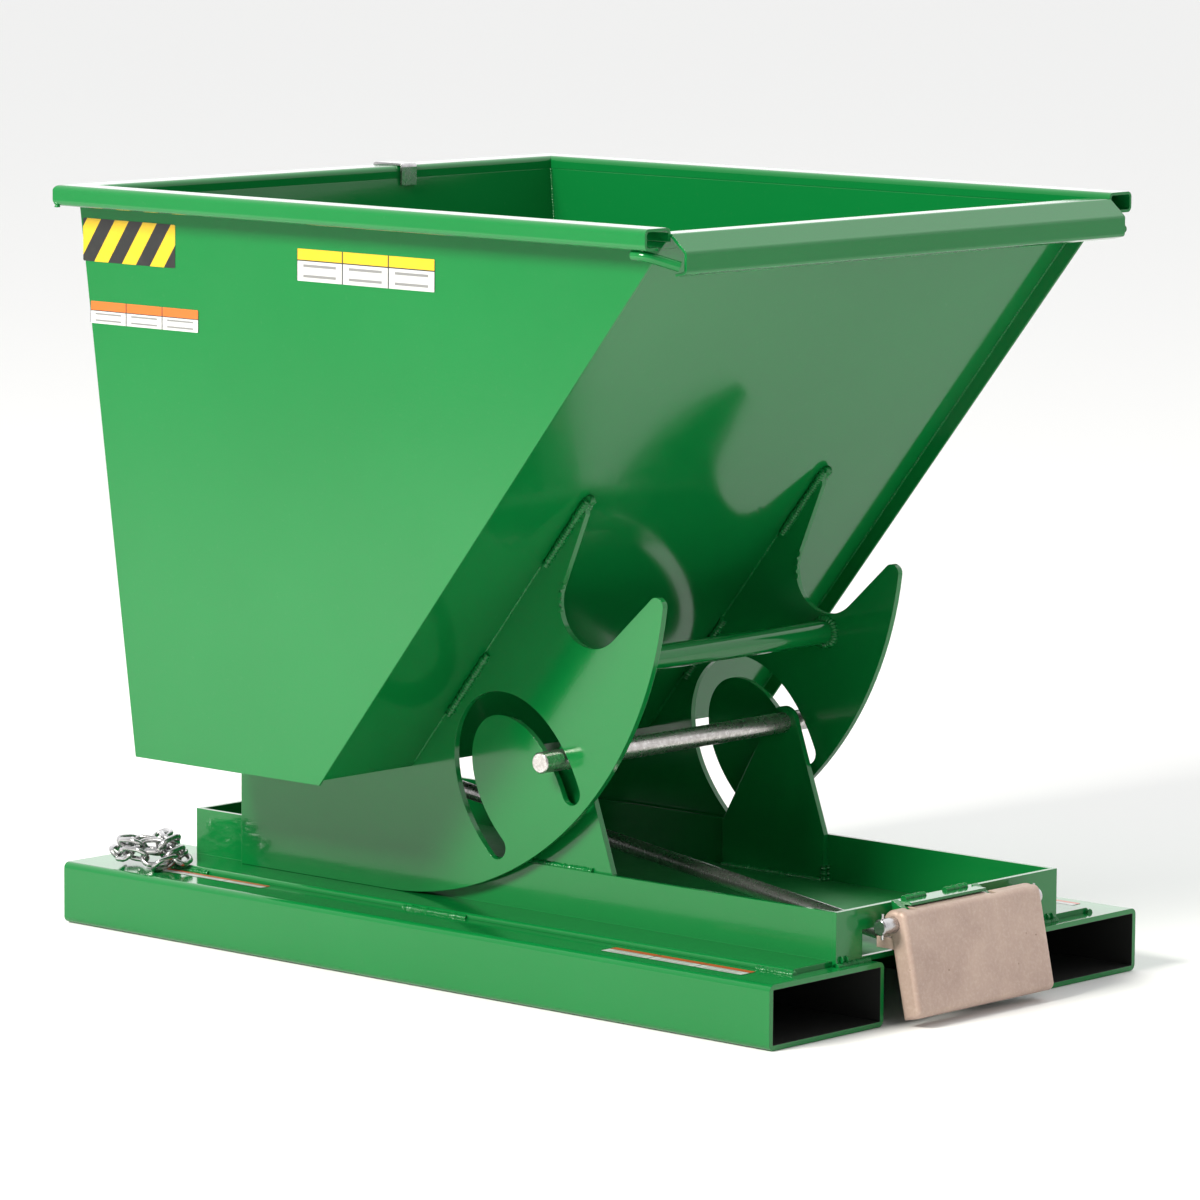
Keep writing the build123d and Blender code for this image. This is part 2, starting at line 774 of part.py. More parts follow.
for side, sign in sides:
    with BuildPart() as rocker:
        with BuildSketch(outer_plane(sign, rocker_inner, rocker_outer)) as rocker_outline:
            with BuildLine():
                Line((rocker_rear, rocker_base), (roll_x, rocker_base))
                ThreePointArc(
                    (roll_x, rocker_base),
                    polar(roll_centre, roll_radius, (horn_bearing - pi / 2) / 2),
                    horn_corner,
                )
                Line(horn_corner, horn_root)
                ThreePointArc(horn_root, notch_middle, notch_top)
                Polyline(
                    notch_top,
                    polar(notch_top, tip_run, notch),
                    (front_x(rocker_tip_high), rocker_tip_high),
                    (front_x(tub_bottom), tub_bottom),
                    (rocker_rear, tub_bottom),
                    (rocker_rear, rocker_base),
                )
            make_face()
            fillet(rocker_outline.vertices().sort_by(Axis.X)[-1], radius=horn_tip_radius)
            with BuildLine():
                Spline(*slot_left)
                ThreePointArc(slot_left[-1], slot_edge(slot_end, 0), slot_right[-1])
                Spline(*slot_right)
                ThreePointArc(slot_left[0], slot_edge(slot_start, pi), slot_right[0])
            make_face(mode=Mode.SUBTRACT)
        extrude(amount=rocker_thick)
    save(rocker.part, f"rocker_{side}")

with BuildPart() as cross_tube:
    with BuildSketch(side_plane(rocker_inner)):
        with Locations((x_front - cross_tube_inset, cross_tube_height)):
            Circle(cross_tube_diameter / 2)
            Circle(cross_tube_diameter / 2 - cross_tube_wall, mode=Mode.SUBTRACT)
    extrude(amount=2 * rocker_inner)
save(cross_tube.part, "cross_tube")

# ---- catch under the tub -----------------------------------------------------------------
catch_outer = catch_half_gap + catch_ear_thick
with BuildPart() as catch_ears:
    for side, sign in sides:
        with BuildSketch(outer_plane(sign, catch_half_gap, catch_outer)):
            with Locations((catch_x, catch_pin_height)):
                Circle(catch_ear_radius)
            with Locations((catch_x, tub_bottom)):
                Rectangle(3 * catch_ear_radius, 2, align=(Align.CENTER, Align.MAX))
            make_hull()
            with Locations((catch_x, catch_pin_height)):
                Circle(catch_pin_diameter / 2 + seat_fit, mode=Mode.SUBTRACT)
        extrude(amount=catch_ear_thick)
save(catch_ears.part, "catch_ears")

with BuildPart() as catch_pin:
    with BuildSketch(side_plane(catch_outer + 4)):
        with Locations((catch_x, catch_pin_height)):
            Circle(catch_pin_diameter / 2)
    extrude(amount=2 * (catch_outer + 4))
save(catch_pin.part, "catch_pin")

# ---- clip over the rear rim --------------------------------------------------------------
clip_outer_x = rim_rear - clip_thick
clip_inner_x = rear_sheet_top + sheet + clip_slack + clip_thick
clip_top = rim_top + clip_thick
with BuildPart() as rim_clip:
    with BuildSketch(side_plane(clip_offset + clip_width / 2)):
        with BuildLine():
            FilletPolyline(
                (clip_outer_x, clip_top - clip_outer_drop),
                (clip_outer_x, clip_top),
                (clip_inner_x, clip_top),
                (clip_inner_x, clip_top - clip_inner_drop),
                radius=clip_bend,
            )
            offset(amount=clip_thick, side=Side.RIGHT)
        make_face()
    extrude(amount=clip_width)
save(rim_clip.part, "rim_clip")

# ---- safety chain, coiled on the right fork tube -----------------------------------------
coil_radius = link_pitch / 2 / sin(pi / coil_links)
link_bend = (link_width - link_wire) / 2
link_straight = link_length - link_width
with BuildPart(mode=Mode.PRIVATE) as link:
    with BuildLine():
        Line((-link_straight / 2, link_bend), (link_straight / 2, link_bend))
        RadiusArc((link_straight / 2, link_bend), (link_straight / 2, -link_bend), link_bend)
        Line((link_straight / 2, -link_bend), (-link_straight / 2, -link_bend))
        RadiusArc((-link_straight / 2, -link_bend), (-link_straight / 2, link_bend), link_bend)
    with BuildSketch(Plane(origin=(0, link_bend, 0), z_dir=(1, 0, 0))):
        Circle(link_wire / 2)
    sweep()

link_top = tube_height + (link_width - link_wire) / 2 * sin(radians(link_lean)) + link_wire / 2
chain_x = x_rear + chain_inset
with BuildPart() as safety_chain:
    for i in range(chain_links):
        turn = 2 * pi * i / coil_links
        place = Location(
            (
                chain_x + coil_radius * cos(turn),
                chain_offset + coil_radius * sin(turn),
                link_top + coil_rise * i / coil_links,
            ),
            (0, 0, degrees(turn) + 90),
        )
        lean = Location((0, 0, 0), (link_lean if i % 2 else -link_lean, 0, 0))
        with Locations(place * lean):
            add(link.part)
save(safety_chain.part, "safety_chain")
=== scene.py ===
"""Tipping hopper: paint, bare metal, weld beads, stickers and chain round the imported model."""

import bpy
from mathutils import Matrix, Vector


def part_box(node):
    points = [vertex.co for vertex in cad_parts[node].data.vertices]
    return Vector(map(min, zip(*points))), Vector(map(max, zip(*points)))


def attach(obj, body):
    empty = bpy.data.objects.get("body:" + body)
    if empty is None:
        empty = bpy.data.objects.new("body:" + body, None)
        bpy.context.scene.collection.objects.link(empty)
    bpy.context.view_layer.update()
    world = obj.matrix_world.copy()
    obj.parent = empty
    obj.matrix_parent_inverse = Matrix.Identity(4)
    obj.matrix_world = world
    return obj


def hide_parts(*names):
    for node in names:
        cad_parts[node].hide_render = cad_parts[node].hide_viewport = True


bl_info = {
    "name": "Tipping Hopper",
    "version": (1, 0, 0),
    "blender": (4, 5, 0),
    "location": "View3D > Sidebar > Hopper",
    "description": "Finishes, welds, stickers, chain and studio for a forklift tipping hopper",
    "category": "Object",
}

from math import cos, pi, radians, sin

import bpy
from bpy.props import (
    FloatProperty,
    FloatVectorProperty,
    IntProperty,
    PointerProperty,
)
from mathutils import Matrix, Vector

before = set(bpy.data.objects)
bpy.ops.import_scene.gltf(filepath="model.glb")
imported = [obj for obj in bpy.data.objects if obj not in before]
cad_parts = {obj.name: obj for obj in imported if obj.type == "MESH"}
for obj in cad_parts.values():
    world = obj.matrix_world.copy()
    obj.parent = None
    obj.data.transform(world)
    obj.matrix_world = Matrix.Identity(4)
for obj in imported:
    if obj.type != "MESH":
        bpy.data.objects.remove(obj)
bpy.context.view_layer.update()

# Sides of the hopper: name ending, and sign along Y.
SIDES = (("right", -1), ("left", 1))

PAINTED = (
    "rail_right", "rail_left", "front_plate", "rear_plate",
    "upright_right", "upright_left", "bumper_lugs", "lug_bridge",
    "bottom_sheet", "front_sheet", "rear_sheet", "pouring_lip",
    "rim_right", "rim_left", "rim_rear", "corner_bar_right", "corner_bar_left",
    "rocker_right", "rocker_left", "cross_tube", "catch_ears",
)
TUBES = ("fork_tube_right", "fork_tube_left")
BARE_DARK = (
    "release_bar", "latch_hook", "latch_arm", "latch_shaft",
    "bar_guides", "latch_bearings", "catch_pin",
)
ZINC_PLATED = ("bumper_pin", "bumper_cotters", "rim_clip", "latch_spring")
CAST = ("bumper_block", "push_arm")

SHEET = 0.0034  # thickness of the tub's sheets
SHEET_ALONG = 0.00435  # the slanting front sheet's thickness, measured along X
FRONT_SLOPE = 0.7975  # forward run of the front sheet per height

# On the right side sheet: name, finish, lower rear and upper front corner as X and Z.
SIDE_STICKERS = (
    ("sticker_stripes", "striped", (-0.494, 0.838), (-0.335, 0.890)),
    ("sticker_side_orange", "orange", (-0.4815, 0.763), (-0.2955, 0.790)),
    ("sticker_side_yellow", "yellow", (-0.1305, 0.836), (0.0925, 0.874)),
)
# On the fork tubes' tops: name, rear and front end, middle across, width.
TUBE_STICKERS = (
    ("sticker_tube_rear", -0.4966, -0.2946, -0.2915, 0.017),
    ("sticker_tube_front", 0.2754, 0.4914, -0.302, 0.026),
    ("sticker_tube_far", 0.2754, 0.4914, 0.3075, 0.017),
)


# ------------------------------------------------------------------ shading helpers
def feed(tree, value, socket):
    """Joins an output to the input socket, or puts a plain value on it."""
    if isinstance(value, bpy.types.NodeSocket):
        tree.links.new(value, socket)
    else:
        socket.default_value = value


class Shader:
    """A new material with its Principled shader, and short ways to add and join nodes."""

    def __init__(self, name):
        self.material = bpy.data.materials.new(name)
        self.material.use_nodes = True
        self.tree = self.material.node_tree
        self.surface = next(n for n in self.tree.nodes if n.type == "BSDF_PRINCIPLED")
        self.place = self.node("ShaderNodeTexCoord").outputs["Object"]

    def node(self, kind, settings=None, **inputs):
        made = self.tree.nodes.new(kind)
        for name, value in (settings or {}).items():
            setattr(made, name, value)
        for name, value in inputs.items():
            feed(self.tree, value, made.inputs[name.replace("_", " ")])
        return made

    def set(self, **inputs):
        """Plain values or outputs for the Principled shader's own sockets."""
        for name, value in inputs.items():
            feed(self.tree, value, self.surface.inputs[name.replace("_", " ")])

    def noise(self, scale, detail=2.0, roughness=0.5, at=None):
        made = self.node(
            "ShaderNodeTexNoise",
            Vector=at or self.place,
            Scale=scale,
            Detail=detail,
            Roughness=roughness,
        )
        return made.outputs["Fac"]

    def stretched(self, scale):
        """Place in the row frame, scaled along each axis."""
        return self.node("ShaderNodeMapping", Vector=self.place, Scale=scale).outputs["Vector"]

    def ramp(self, factor, low, high, start=0.0, end=1.0):
        """factor taken from start..end to low..high, and held at both ends."""
        made = self.node(
            "ShaderNodeMapRange", {"clamp": True},
            Value=factor, From_Min=start, From_Max=end, To_Min=low, To_Max=high,
        )
        return made.outputs["Result"]

    def mix(self, factor, first, second):
        """The first colour where factor is 0, the second where it is 1."""
        made = self.node("ShaderNodeMix", {"data_type": "RGBA"})
        feed(self.tree, factor, made.inputs[0])
        for index, colour in ((6, first), (7, second)):
            if not isinstance(colour, bpy.types.NodeSocket):
                colour = (*colour[:3], 1.0)
            feed(self.tree, colour, made.inputs[index])
        return made.outputs[2]

    def math(self, operation, first, second=0.0):
        made = self.node("ShaderNodeMath", {"operation": operation})
        feed(self.tree, first, made.inputs[0])
        feed(self.tree, second, made.inputs[1])
        return made.outputs["Value"]

    def away(self, value, centre):
        """Distance of the value from centre."""
        return self.math("ABSOLUTE", self.math("SUBTRACT", value, centre))

    def sticker_split(self):
        """X and Y along and up a sticker, each from 0 to 1."""
        uv = self.node("ShaderNodeUVMap", {"uv_map": "UVMap"}).outputs["UV"]
        return self.node("ShaderNodeSeparateXYZ", Vector=uv).outputs

    def relief(self, height, depth, edge=0.0):
        """Bump of the height field, over edges rounded to that radius."""
        made = self.node("ShaderNodeBump", Height=height, Distance=depth)
        if edge:
            rounded = self.node("ShaderNodeBevel", {"samples": 6}, Radius=edge)
            self.tree.links.new(rounded.outputs["Normal"], made.inputs["Normal"])
        self.set(Normal=made.outputs["Normal"])


def powder_coat(settings, name="powder_coat", shaded_hollow=None):
    """Gloss powder coat with fine orange peel. The optional box's inside gets painted shade: near
    black, and rougher.
    """
    s = Shader(name)
    cloud = s.noise(3.0, detail=3.0)
    colour = s.mix(s.ramp(cloud, 0.0, 1.0, 0.3, 0.7), settings.paint, settings.paint_deep)
    dust = s.ramp(s.noise(150.0, detail=4.0, roughness=0.7), 0.0, 0.03, 0.62, 0.85)
    colour = s.mix(dust, colour, settings.dust)
    rough = s.ramp(s.noise(9.0, detail=5.0, roughness=0.65), 0.08, 0.17, 0.35, 0.75)
    # Painted shade: inside the box the colour goes near black, standing in for the shade inside a
    # fork tube.
    if shaded_hollow:
        low, high = shaded_hollow
        middle, reach = (low + high) / 2, (high - low) / 2
        split = s.node("ShaderNodeSeparateXYZ", Vector=s.place).outputs
        within = s.math(
            "MULTIPLY",
            s.math("LESS_THAN", s.away(split["Y"], middle.y), reach.y),
            s.math("LESS_THAN", s.away(split["Z"], middle.z), reach.z),
        )
        colour = s.mix(within, colour, settings.bare_inside)
        rough = s.math("ADD", rough, s.math("MULTIPLY", within, settings.inside_roughness))
    s.set(Base_Color=colour, Roughness=rough, IOR=1.42, Coat_Weight=0.12, Coat_Roughness=0.03)
    s.relief(s.noise(settings.peel_scale), settings.peel_depth, edge=settings.edge_radius)
    return s.material


def scuffed_coat(settings):
    """Dull powder coat of the tray's floor, rubbed by what falls on it."""
    s = Shader("scuffed_coat")
    cloud = s.noise(12.0, detail=5.0, roughness=0.65)
    colour = s.mix(s.ramp(cloud, 0.0, 1.0, 0.3, 0.7), settings.paint, settings.paint_deep)
    scratch = s.noise(1.0, detail=4.0, roughness=0.7, at=s.stretched((12.0, 320.0, 320.0)))
    colour = s.mix(s.ramp(scratch, 0.0, 0.12, 0.6, 0.75), colour, settings.dust)
    s.set(Base_Color=colour, Roughness=s.ramp(cloud, 0.42, 0.6, 0.3, 0.7))
    s.relief(scratch, 0.00005, edge=settings.edge_radius)
    return s.material


def cast_steel(settings):
    """Raw bumper: warm grey scale with pits and rubs, over rounded edges."""
    s = Shader("raw_cast_steel")
    patch = s.noise(16.0, detail=6.0, roughness=0.6)
    grain = s.noise(230.0, detail=3.0, roughness=0.7)
    colour = s.mix(s.ramp(patch, 0.0, 1.0, 0.32, 0.7), settings.cast, settings.cast_deep)
    colour = s.mix(s.ramp(grain, 0.0, 0.35, 0.45, 0.8), colour, settings.cast_pale)
    pits = s.node(
        "ShaderNodeTexVoronoi", {"feature": "F1"}, Vector=s.place, Scale=70.0
    ).outputs["Distance"]
    pit = s.ramp(pits, 1.0, 0.0, 0.035, 0.09)
    rare = s.ramp(s.noise(22.0, detail=1.0), 0.0, 1.0, 0.56, 0.6)
    pit = s.math("MULTIPLY", pit, rare)
    colour = s.mix(pit, colour, settings.cast_pit)
    rub = s.noise(1.0, detail=5.0, roughness=0.7, at=s.stretched((260.0, 260.0, 24.0)))
    colour = s.mix(s.ramp(rub, 0.0, 0.3, 0.62, 0.75), colour, settings.cast_pale)
    height = s.math("ADD", s.math("MULTIPLY", grain, 0.35), s.math("MULTIPLY", pit, -1.6))
    s.set(Base_Color=colour, Roughness=s.ramp(patch, 0.42, 0.62), Metallic=0.25)
    s.relief(height, 0.00035, edge=settings.edge_radius * 2)
    return s.material


def turned_steel(settings, name, colour, deep, along):
    """Round bar stock with grey mottling, and streaks scaled by along on each axis."""
    s = Shader(name)
    streak = s.noise(1.0, detail=4.0, roughness=0.6, at=s.stretched(along))
    mottle = s.noise(120.0, detail=5.0, roughness=0.75)
    tone = s.mix(s.ramp(mottle, 0.0, 1.0, 0.35, 0.7), colour, deep)
    tone = s.mix(s.ramp(streak, 0.0, 0.5, 0.45, 0.75), tone, deep)
    s.set(Base_Color=tone, Roughness=s.ramp(mottle, 0.2, 0.4, 0.3, 0.75), Metallic=0.95)
    s.relief(s.math("ADD", streak, mottle), 0.00002, edge=settings.edge_radius)
    return s.material


def zinc_plate(settings):
    """Bright zinc with a faint warm cast and soft blotches."""
    s = Shader("zinc_plate")
    blotch = s.noise(60.0, detail=4.0, roughness=0.6)
    colour = s.mix(s.ramp(blotch, 0.0, 1.0, 0.35, 0.7), settings.zinc, settings.zinc_deep)
    s.set(Base_Color=colour, Roughness=s.ramp(blotch, 0.16, 0.34, 0.3, 0.7), Metallic=1.0)
    s.relief(s.noise(400.0), 0.00004, edge=settings.edge_radius)
    return s.material


def sticker_finish(s, colour):
    """Satin vinyl over a colour."""
    grime = s.ramp(s.noise(70.0, detail=5.0, roughness=0.7), 0.0, 0.05, 0.5, 0.8)
    s.set(Base_Color=s.mix(grime, colour, (0.25, 0.24, 0.2)), Roughness=0.32)
    s.relief(s.noise(500.0), 0.00002)
    return s.material


def striped_sticker(settings):
    """Yellow vinyl with black slanting bands, along the sticker's own UV."""
    slant = -0.75  # bands crossed on the way up
    shift = 1.6  # of the bands along the sticker
    s = Shader("sticker_striped")
    split = s.sticker_split()
    along = s.math("MULTIPLY", split["X"], settings.stripe_count)
    along = s.math("ADD", along, s.math("MULTIPLY", split["Y"], slant))
    band = s.math("LESS_THAN", s.math("MODULO", s.math("ADD", along, shift), 1.0), 0.5)
    return sticker_finish(s, s.mix(band, settings.sticker_black, settings.sticker_yellow))


def printed_bars(s, up, across, header_share):
    """Two plain grey bars in the white part of each cell."""
    half_height, half_width = 0.13, 0.36  # of a bar, as shares of its row and its cell
    margin = 0.03  # kept free under the header
    row = s.math("MODULO", s.math("MULTIPLY", up, 2.0 / (1.0 - header_share)), 1.0)
    in_row = s.math("LESS_THAN", s.away(row, 0.5), half_height)
    in_cell = s.math("LESS_THAN", s.away(across, 0.5), half_width)
    below = s.math("LESS_THAN", up, 1.0 - margin - header_share)
    return s.math("MULTIPLY", s.math("MULTIPLY", in_row, in_cell), below)


def celled_sticker(settings, name, header, header_share):
    """White vinyl in equal cells, each under a coloured header band, with thin dark rules."""
    side_rule, header_rule = 0.012, 0.018  # half of each rule's width
    s = Shader(name)
    split = s.sticker_split()
    up = split["Y"]
    head = s.math("GREATER_THAN", up, 1.0 - header_share)
    colour = s.mix(head, settings.sticker_white, header)
    across = s.math("MODULO", s.math("MULTIPLY", split["X"], settings.sticker_cells), 1.0)
    rule = s.math("GREATER_THAN", s.away(across, 0.5), 0.5 - side_rule)
    under = s.math("LESS_THAN", s.away(up, 1.0 - header_share), header_rule)
    rule = s.math("MAXIMUM", rule, under)
    colour = s.mix(printed_bars(s, up, across, header_share), colour, settings.sticker_grey)
    return sticker_finish(s, s.mix(rule, colour, settings.sticker_black))


def matt_floor(settings):
    """Matt studio floor, almost without gloss."""
    s = Shader("studio_floor")
    s.set(Base_Color=(*settings.floor, 1.0), Roughness=0.9, Specular_IOR_Level=0.1)
    return s.material


# ------------------------------------------------------------------ mesh helpers
def put_material(mesh, material):
    mesh.materials.clear()
    mesh.materials.append(material)


def link_piece(name, mesh, material, body):
    """A shown piece made from a mesh in the row frame, riding on a body."""
    made = bpy.data.objects.new(name, mesh)
    bpy.context.scene.collection.objects.link(made)
    put_material(mesh, material)
    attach(made, body)
    return made


def paint(nodes, material):
    """Puts the material on the frame's nodes of those names."""
    for name in nodes:
        put_material(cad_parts[name].data, material)


def evaluated_mesh(made, name):
    """Plain mesh of an object with its modifiers done. The object itself is removed."""
    view = bpy.context.evaluated_depsgraph_get()
    mesh = bpy.data.meshes.new_from_object(made.evaluated_get(view), depsgraph=view)
    mesh.name = name
    bpy.data.objects.remove(made)
    return mesh


def polyline_object(name, paths):
    """A curve object with a straight-run spline for each path: (points, closed)."""
    curve = bpy.data.curves.new(name, "CURVE")
    curve.dimensions = "3D"
    for points, closed in paths:
        spline = curve.splines.new("POLY")
        spline.points.add(len(points) - 1)
        for point, place in zip(spline.points, points):
            point.co = (*place, 1.0)
        spline.use_cyclic_u = closed
    made = bpy.data.objects.new(name, curve)
    bpy.context.scene.collection.objects.link(made)
    return made


# ------------------------------------------------------------------ geometry node trees
class Tree:
    """A geometry node group with named inputs, and short ways to add and join nodes."""

    def __init__(self, name, inputs):
        self.group = bpy.data.node_groups.new(name, "GeometryNodeTree")
        sockets = self.group.interface
        sockets.new_socket("Geometry", in_out="INPUT", socket_type="NodeSocketGeometry")
        for label, kind, default in inputs:
            made = sockets.new_socket(label, in_out="INPUT", socket_type=kind)
            if default is not None:
                made.default_value = default
        sockets.new_socket("Geometry", in_out="OUTPUT", socket_type="NodeSocketGeometry")
        self.given = self.group.nodes.new("NodeGroupInput").outputs
        self.result = self.group.nodes.new("NodeGroupOutput").inputs["Geometry"]

    def node(self, kind, settings=None, sockets=None):
        made = self.group.nodes.new(kind)
        for name, value in (settings or {}).items():
            setattr(made, name, value)
        for key, value in (sockets or {}).items():
            feed(self.group, value, made.inputs[key])
        return made

    def math(self, operation, first, second=0.0):
        made = self.node("ShaderNodeMath", {"operation": operation}, {0: first, 1: second})
        return made.outputs[0]

    def finish(self, geometry, material):
        """Joins the geometry, as real faces of that material, to the group's output."""
        real = self.node("GeometryNodeRealizeInstances", sockets={0: geometry})
        coated = self.node(
            "GeometryNodeSetMaterial", sockets={0: real.outputs[0], "Material": material}
        )
        self.group.links.new(coated.outputs[0], self.result)

    def run(self, made, **values):
        """Puts the tree on an object as a modifier, with its inputs set by identifier."""
        modifier = made.modifiers.new(self.group.name, "NODES")
        modifier.node_group = self.group
        for item in self.group.interface.items_tree:
            key = item.name.replace(" ", "_").lower()
            if item.in_out == "INPUT" and key in values:
                modifier[item.identifier] = values[key]


def bead_tree():
    """Weld bead along each spline: a tube whose thickness ripples and wanders a little."""
    points_per_ripple, ring_points = 5.0, 8
    least, wander_share, wander_scale = 0.35, 1.3, 180.0
    tree = Tree(
        "Weld Bead",
        [
            ("Radius", "NodeSocketFloat", 0.003),
            ("Ripple Pitch", "NodeSocketFloat", 0.003),
            ("Ripple Depth", "NodeSocketFloat", 0.25),
            ("Seed", "NodeSocketFloat", 4.0),
            ("Material", "NodeSocketMaterial", None),
        ],
    )
    given = tree.given
    step = tree.math("DIVIDE", given["Ripple Pitch"], points_per_ripple)
    fine = tree.node(
        "GeometryNodeResampleCurve", {"mode": "LENGTH"}, {0: given["Geometry"], "Length": step}
    )
    along = tree.node("GeometryNodeSplineParameter").outputs["Length"]
    turns = tree.math("MULTIPLY", tree.math("DIVIDE", along, given["Ripple Pitch"]), 2 * pi)
    ripple = tree.math("MULTIPLY", tree.math("SINE", turns), given["Ripple Depth"])
    wander = tree.node(
        "ShaderNodeTexNoise",
        {"noise_dimensions": "4D"},
        {"W": given["Seed"], "Scale": wander_scale, "Detail": 2.0},
    ).outputs[0]
    wander = tree.math("MULTIPLY", wander, wander_share)
    size = tree.math("ADD", tree.math("ADD", least, ripple), wander)
    ring = tree.node(
        "GeometryNodeCurvePrimitiveCircle",
        {"mode": "RADIUS"},
        {"Resolution": ring_points, "Radius": given["Radius"]},
    )
    bead = tree.node(
        "GeometryNodeCurveToMesh",
        sockets={
            0: fine.outputs[0],
            1: ring.outputs[0],
            "Scale": size,
            "Fill Caps": True,
        },
    )
    smooth = tree.node("GeometryNodeSetShadeSmooth", sockets={0: bead.outputs[0]})
    tree.finish(smooth.outputs[0], given["Material"])
    return tree


def chain_tree():
    """Welded chain links laid end to end along each spline, every other one leaning across."""
    tree = Tree(
        "Chain",
        [
            ("Wire", "NodeSocketFloat", 0.005),
            ("Link Length", "NodeSocketFloat", 0.038),
            ("Link Width", "NodeSocketFloat", 0.026),
            ("Pitch", "NodeSocketFloat", 0.022),
            ("Lean", "NodeSocketFloat", 0.87),
            ("Jitter", "NodeSocketFloat", 0.12),
            ("Seed", "NodeSocketInt", 7),
            ("Material", "NodeSocketMaterial", None),
        ],
    )
    given = tree.given
    link_middle_length = tree.math("SUBTRACT", given["Link Length"], given["Wire"])
    link_middle_width = tree.math("SUBTRACT", given["Link Width"], given["Wire"])
    almost_half = 0.499  # the ends' radius for the width, short of where the corners meet
    centres = tree.node(
        "GeometryNodeResampleCurve",
        {"mode": "LENGTH"},
        {0: given["Geometry"], "Length": given["Pitch"]},
    )
    outline = tree.node(
        "GeometryNodeCurvePrimitiveQuadrilateral",
        sockets={0: link_middle_length, 1: link_middle_width},
    )
    half = tree.math("MULTIPLY", link_middle_width, almost_half)
    oval = tree.node(
        "GeometryNodeFilletCurve",
        {"mode": "POLY"},
        {0: outline.outputs[0], "Count": 8, "Radius": half},
    )
    ring = tree.node(
        "GeometryNodeCurvePrimitiveCircle",
        {"mode": "RADIUS"},
        {"Resolution": 12, "Radius": tree.math("MULTIPLY", given["Wire"], 0.5)},
    )
    link = tree.node(
        "GeometryNodeCurveToMesh", sockets={0: oval.outputs[0], 1: ring.outputs[0]}
    )
    smooth = tree.node("GeometryNodeSetShadeSmooth", sockets={0: link.outputs[0]})
    heading = tree.node(
        "FunctionNodeAlignRotationToVector",
        {"axis": "X"},
        {"Vector": tree.node("GeometryNodeInputTangent").outputs[0]},
    )
    index = tree.node("GeometryNodeInputIndex").outputs[0]
    odd = tree.math("MODULO", index, 2.0)
    side = tree.math("SUBTRACT", tree.math("MULTIPLY", odd, 2.0), 1.0)
    stray = tree.node(
        "FunctionNodeRandomValue",
        {"data_type": "FLOAT"},
        {2: -1.0, 3: 1.0, "Seed": given["Seed"]},
    )
    lean = tree.math(
        "ADD",
        tree.math("MULTIPLY", side, given["Lean"]),
        tree.math("MULTIPLY", stray.outputs[1], given["Jitter"]),
    )
    roll = tree.node(
        "FunctionNodeAxisAngleToRotation", sockets={"Axis": (1.0, 0.0, 0.0), "Angle": lean}
    )
    turned = tree.node(
        "FunctionNodeRotateRotation",
        {"rotation_space": "LOCAL"},
        {0: heading.outputs[0], 1: roll.outputs[0]},
    )
    laid = tree.node(
        "GeometryNodeInstanceOnPoints",
        sockets={
            0: centres.outputs[0],
            "Instance": smooth.outputs[0],
            "Rotation": turned.outputs[0],
        },
    )
    tree.finish(laid.outputs[0], given["Material"])
    return tree


# ------------------------------------------------------------------ sizes and colours
def colour_property(name, description, value):
    return FloatVectorProperty(
        name=name, description=description, subtype="COLOR", size=3, min=0, max=1, default=value
    )


def length_property(name, description, value):
    return FloatProperty(
        name=name, description=description, default=value, min=0.0, unit="LENGTH", precision=4
    )


def place_property(name, description, value):
    return FloatVectorProperty(
        name=name, description=description, subtype="TRANSLATION", default=value
    )


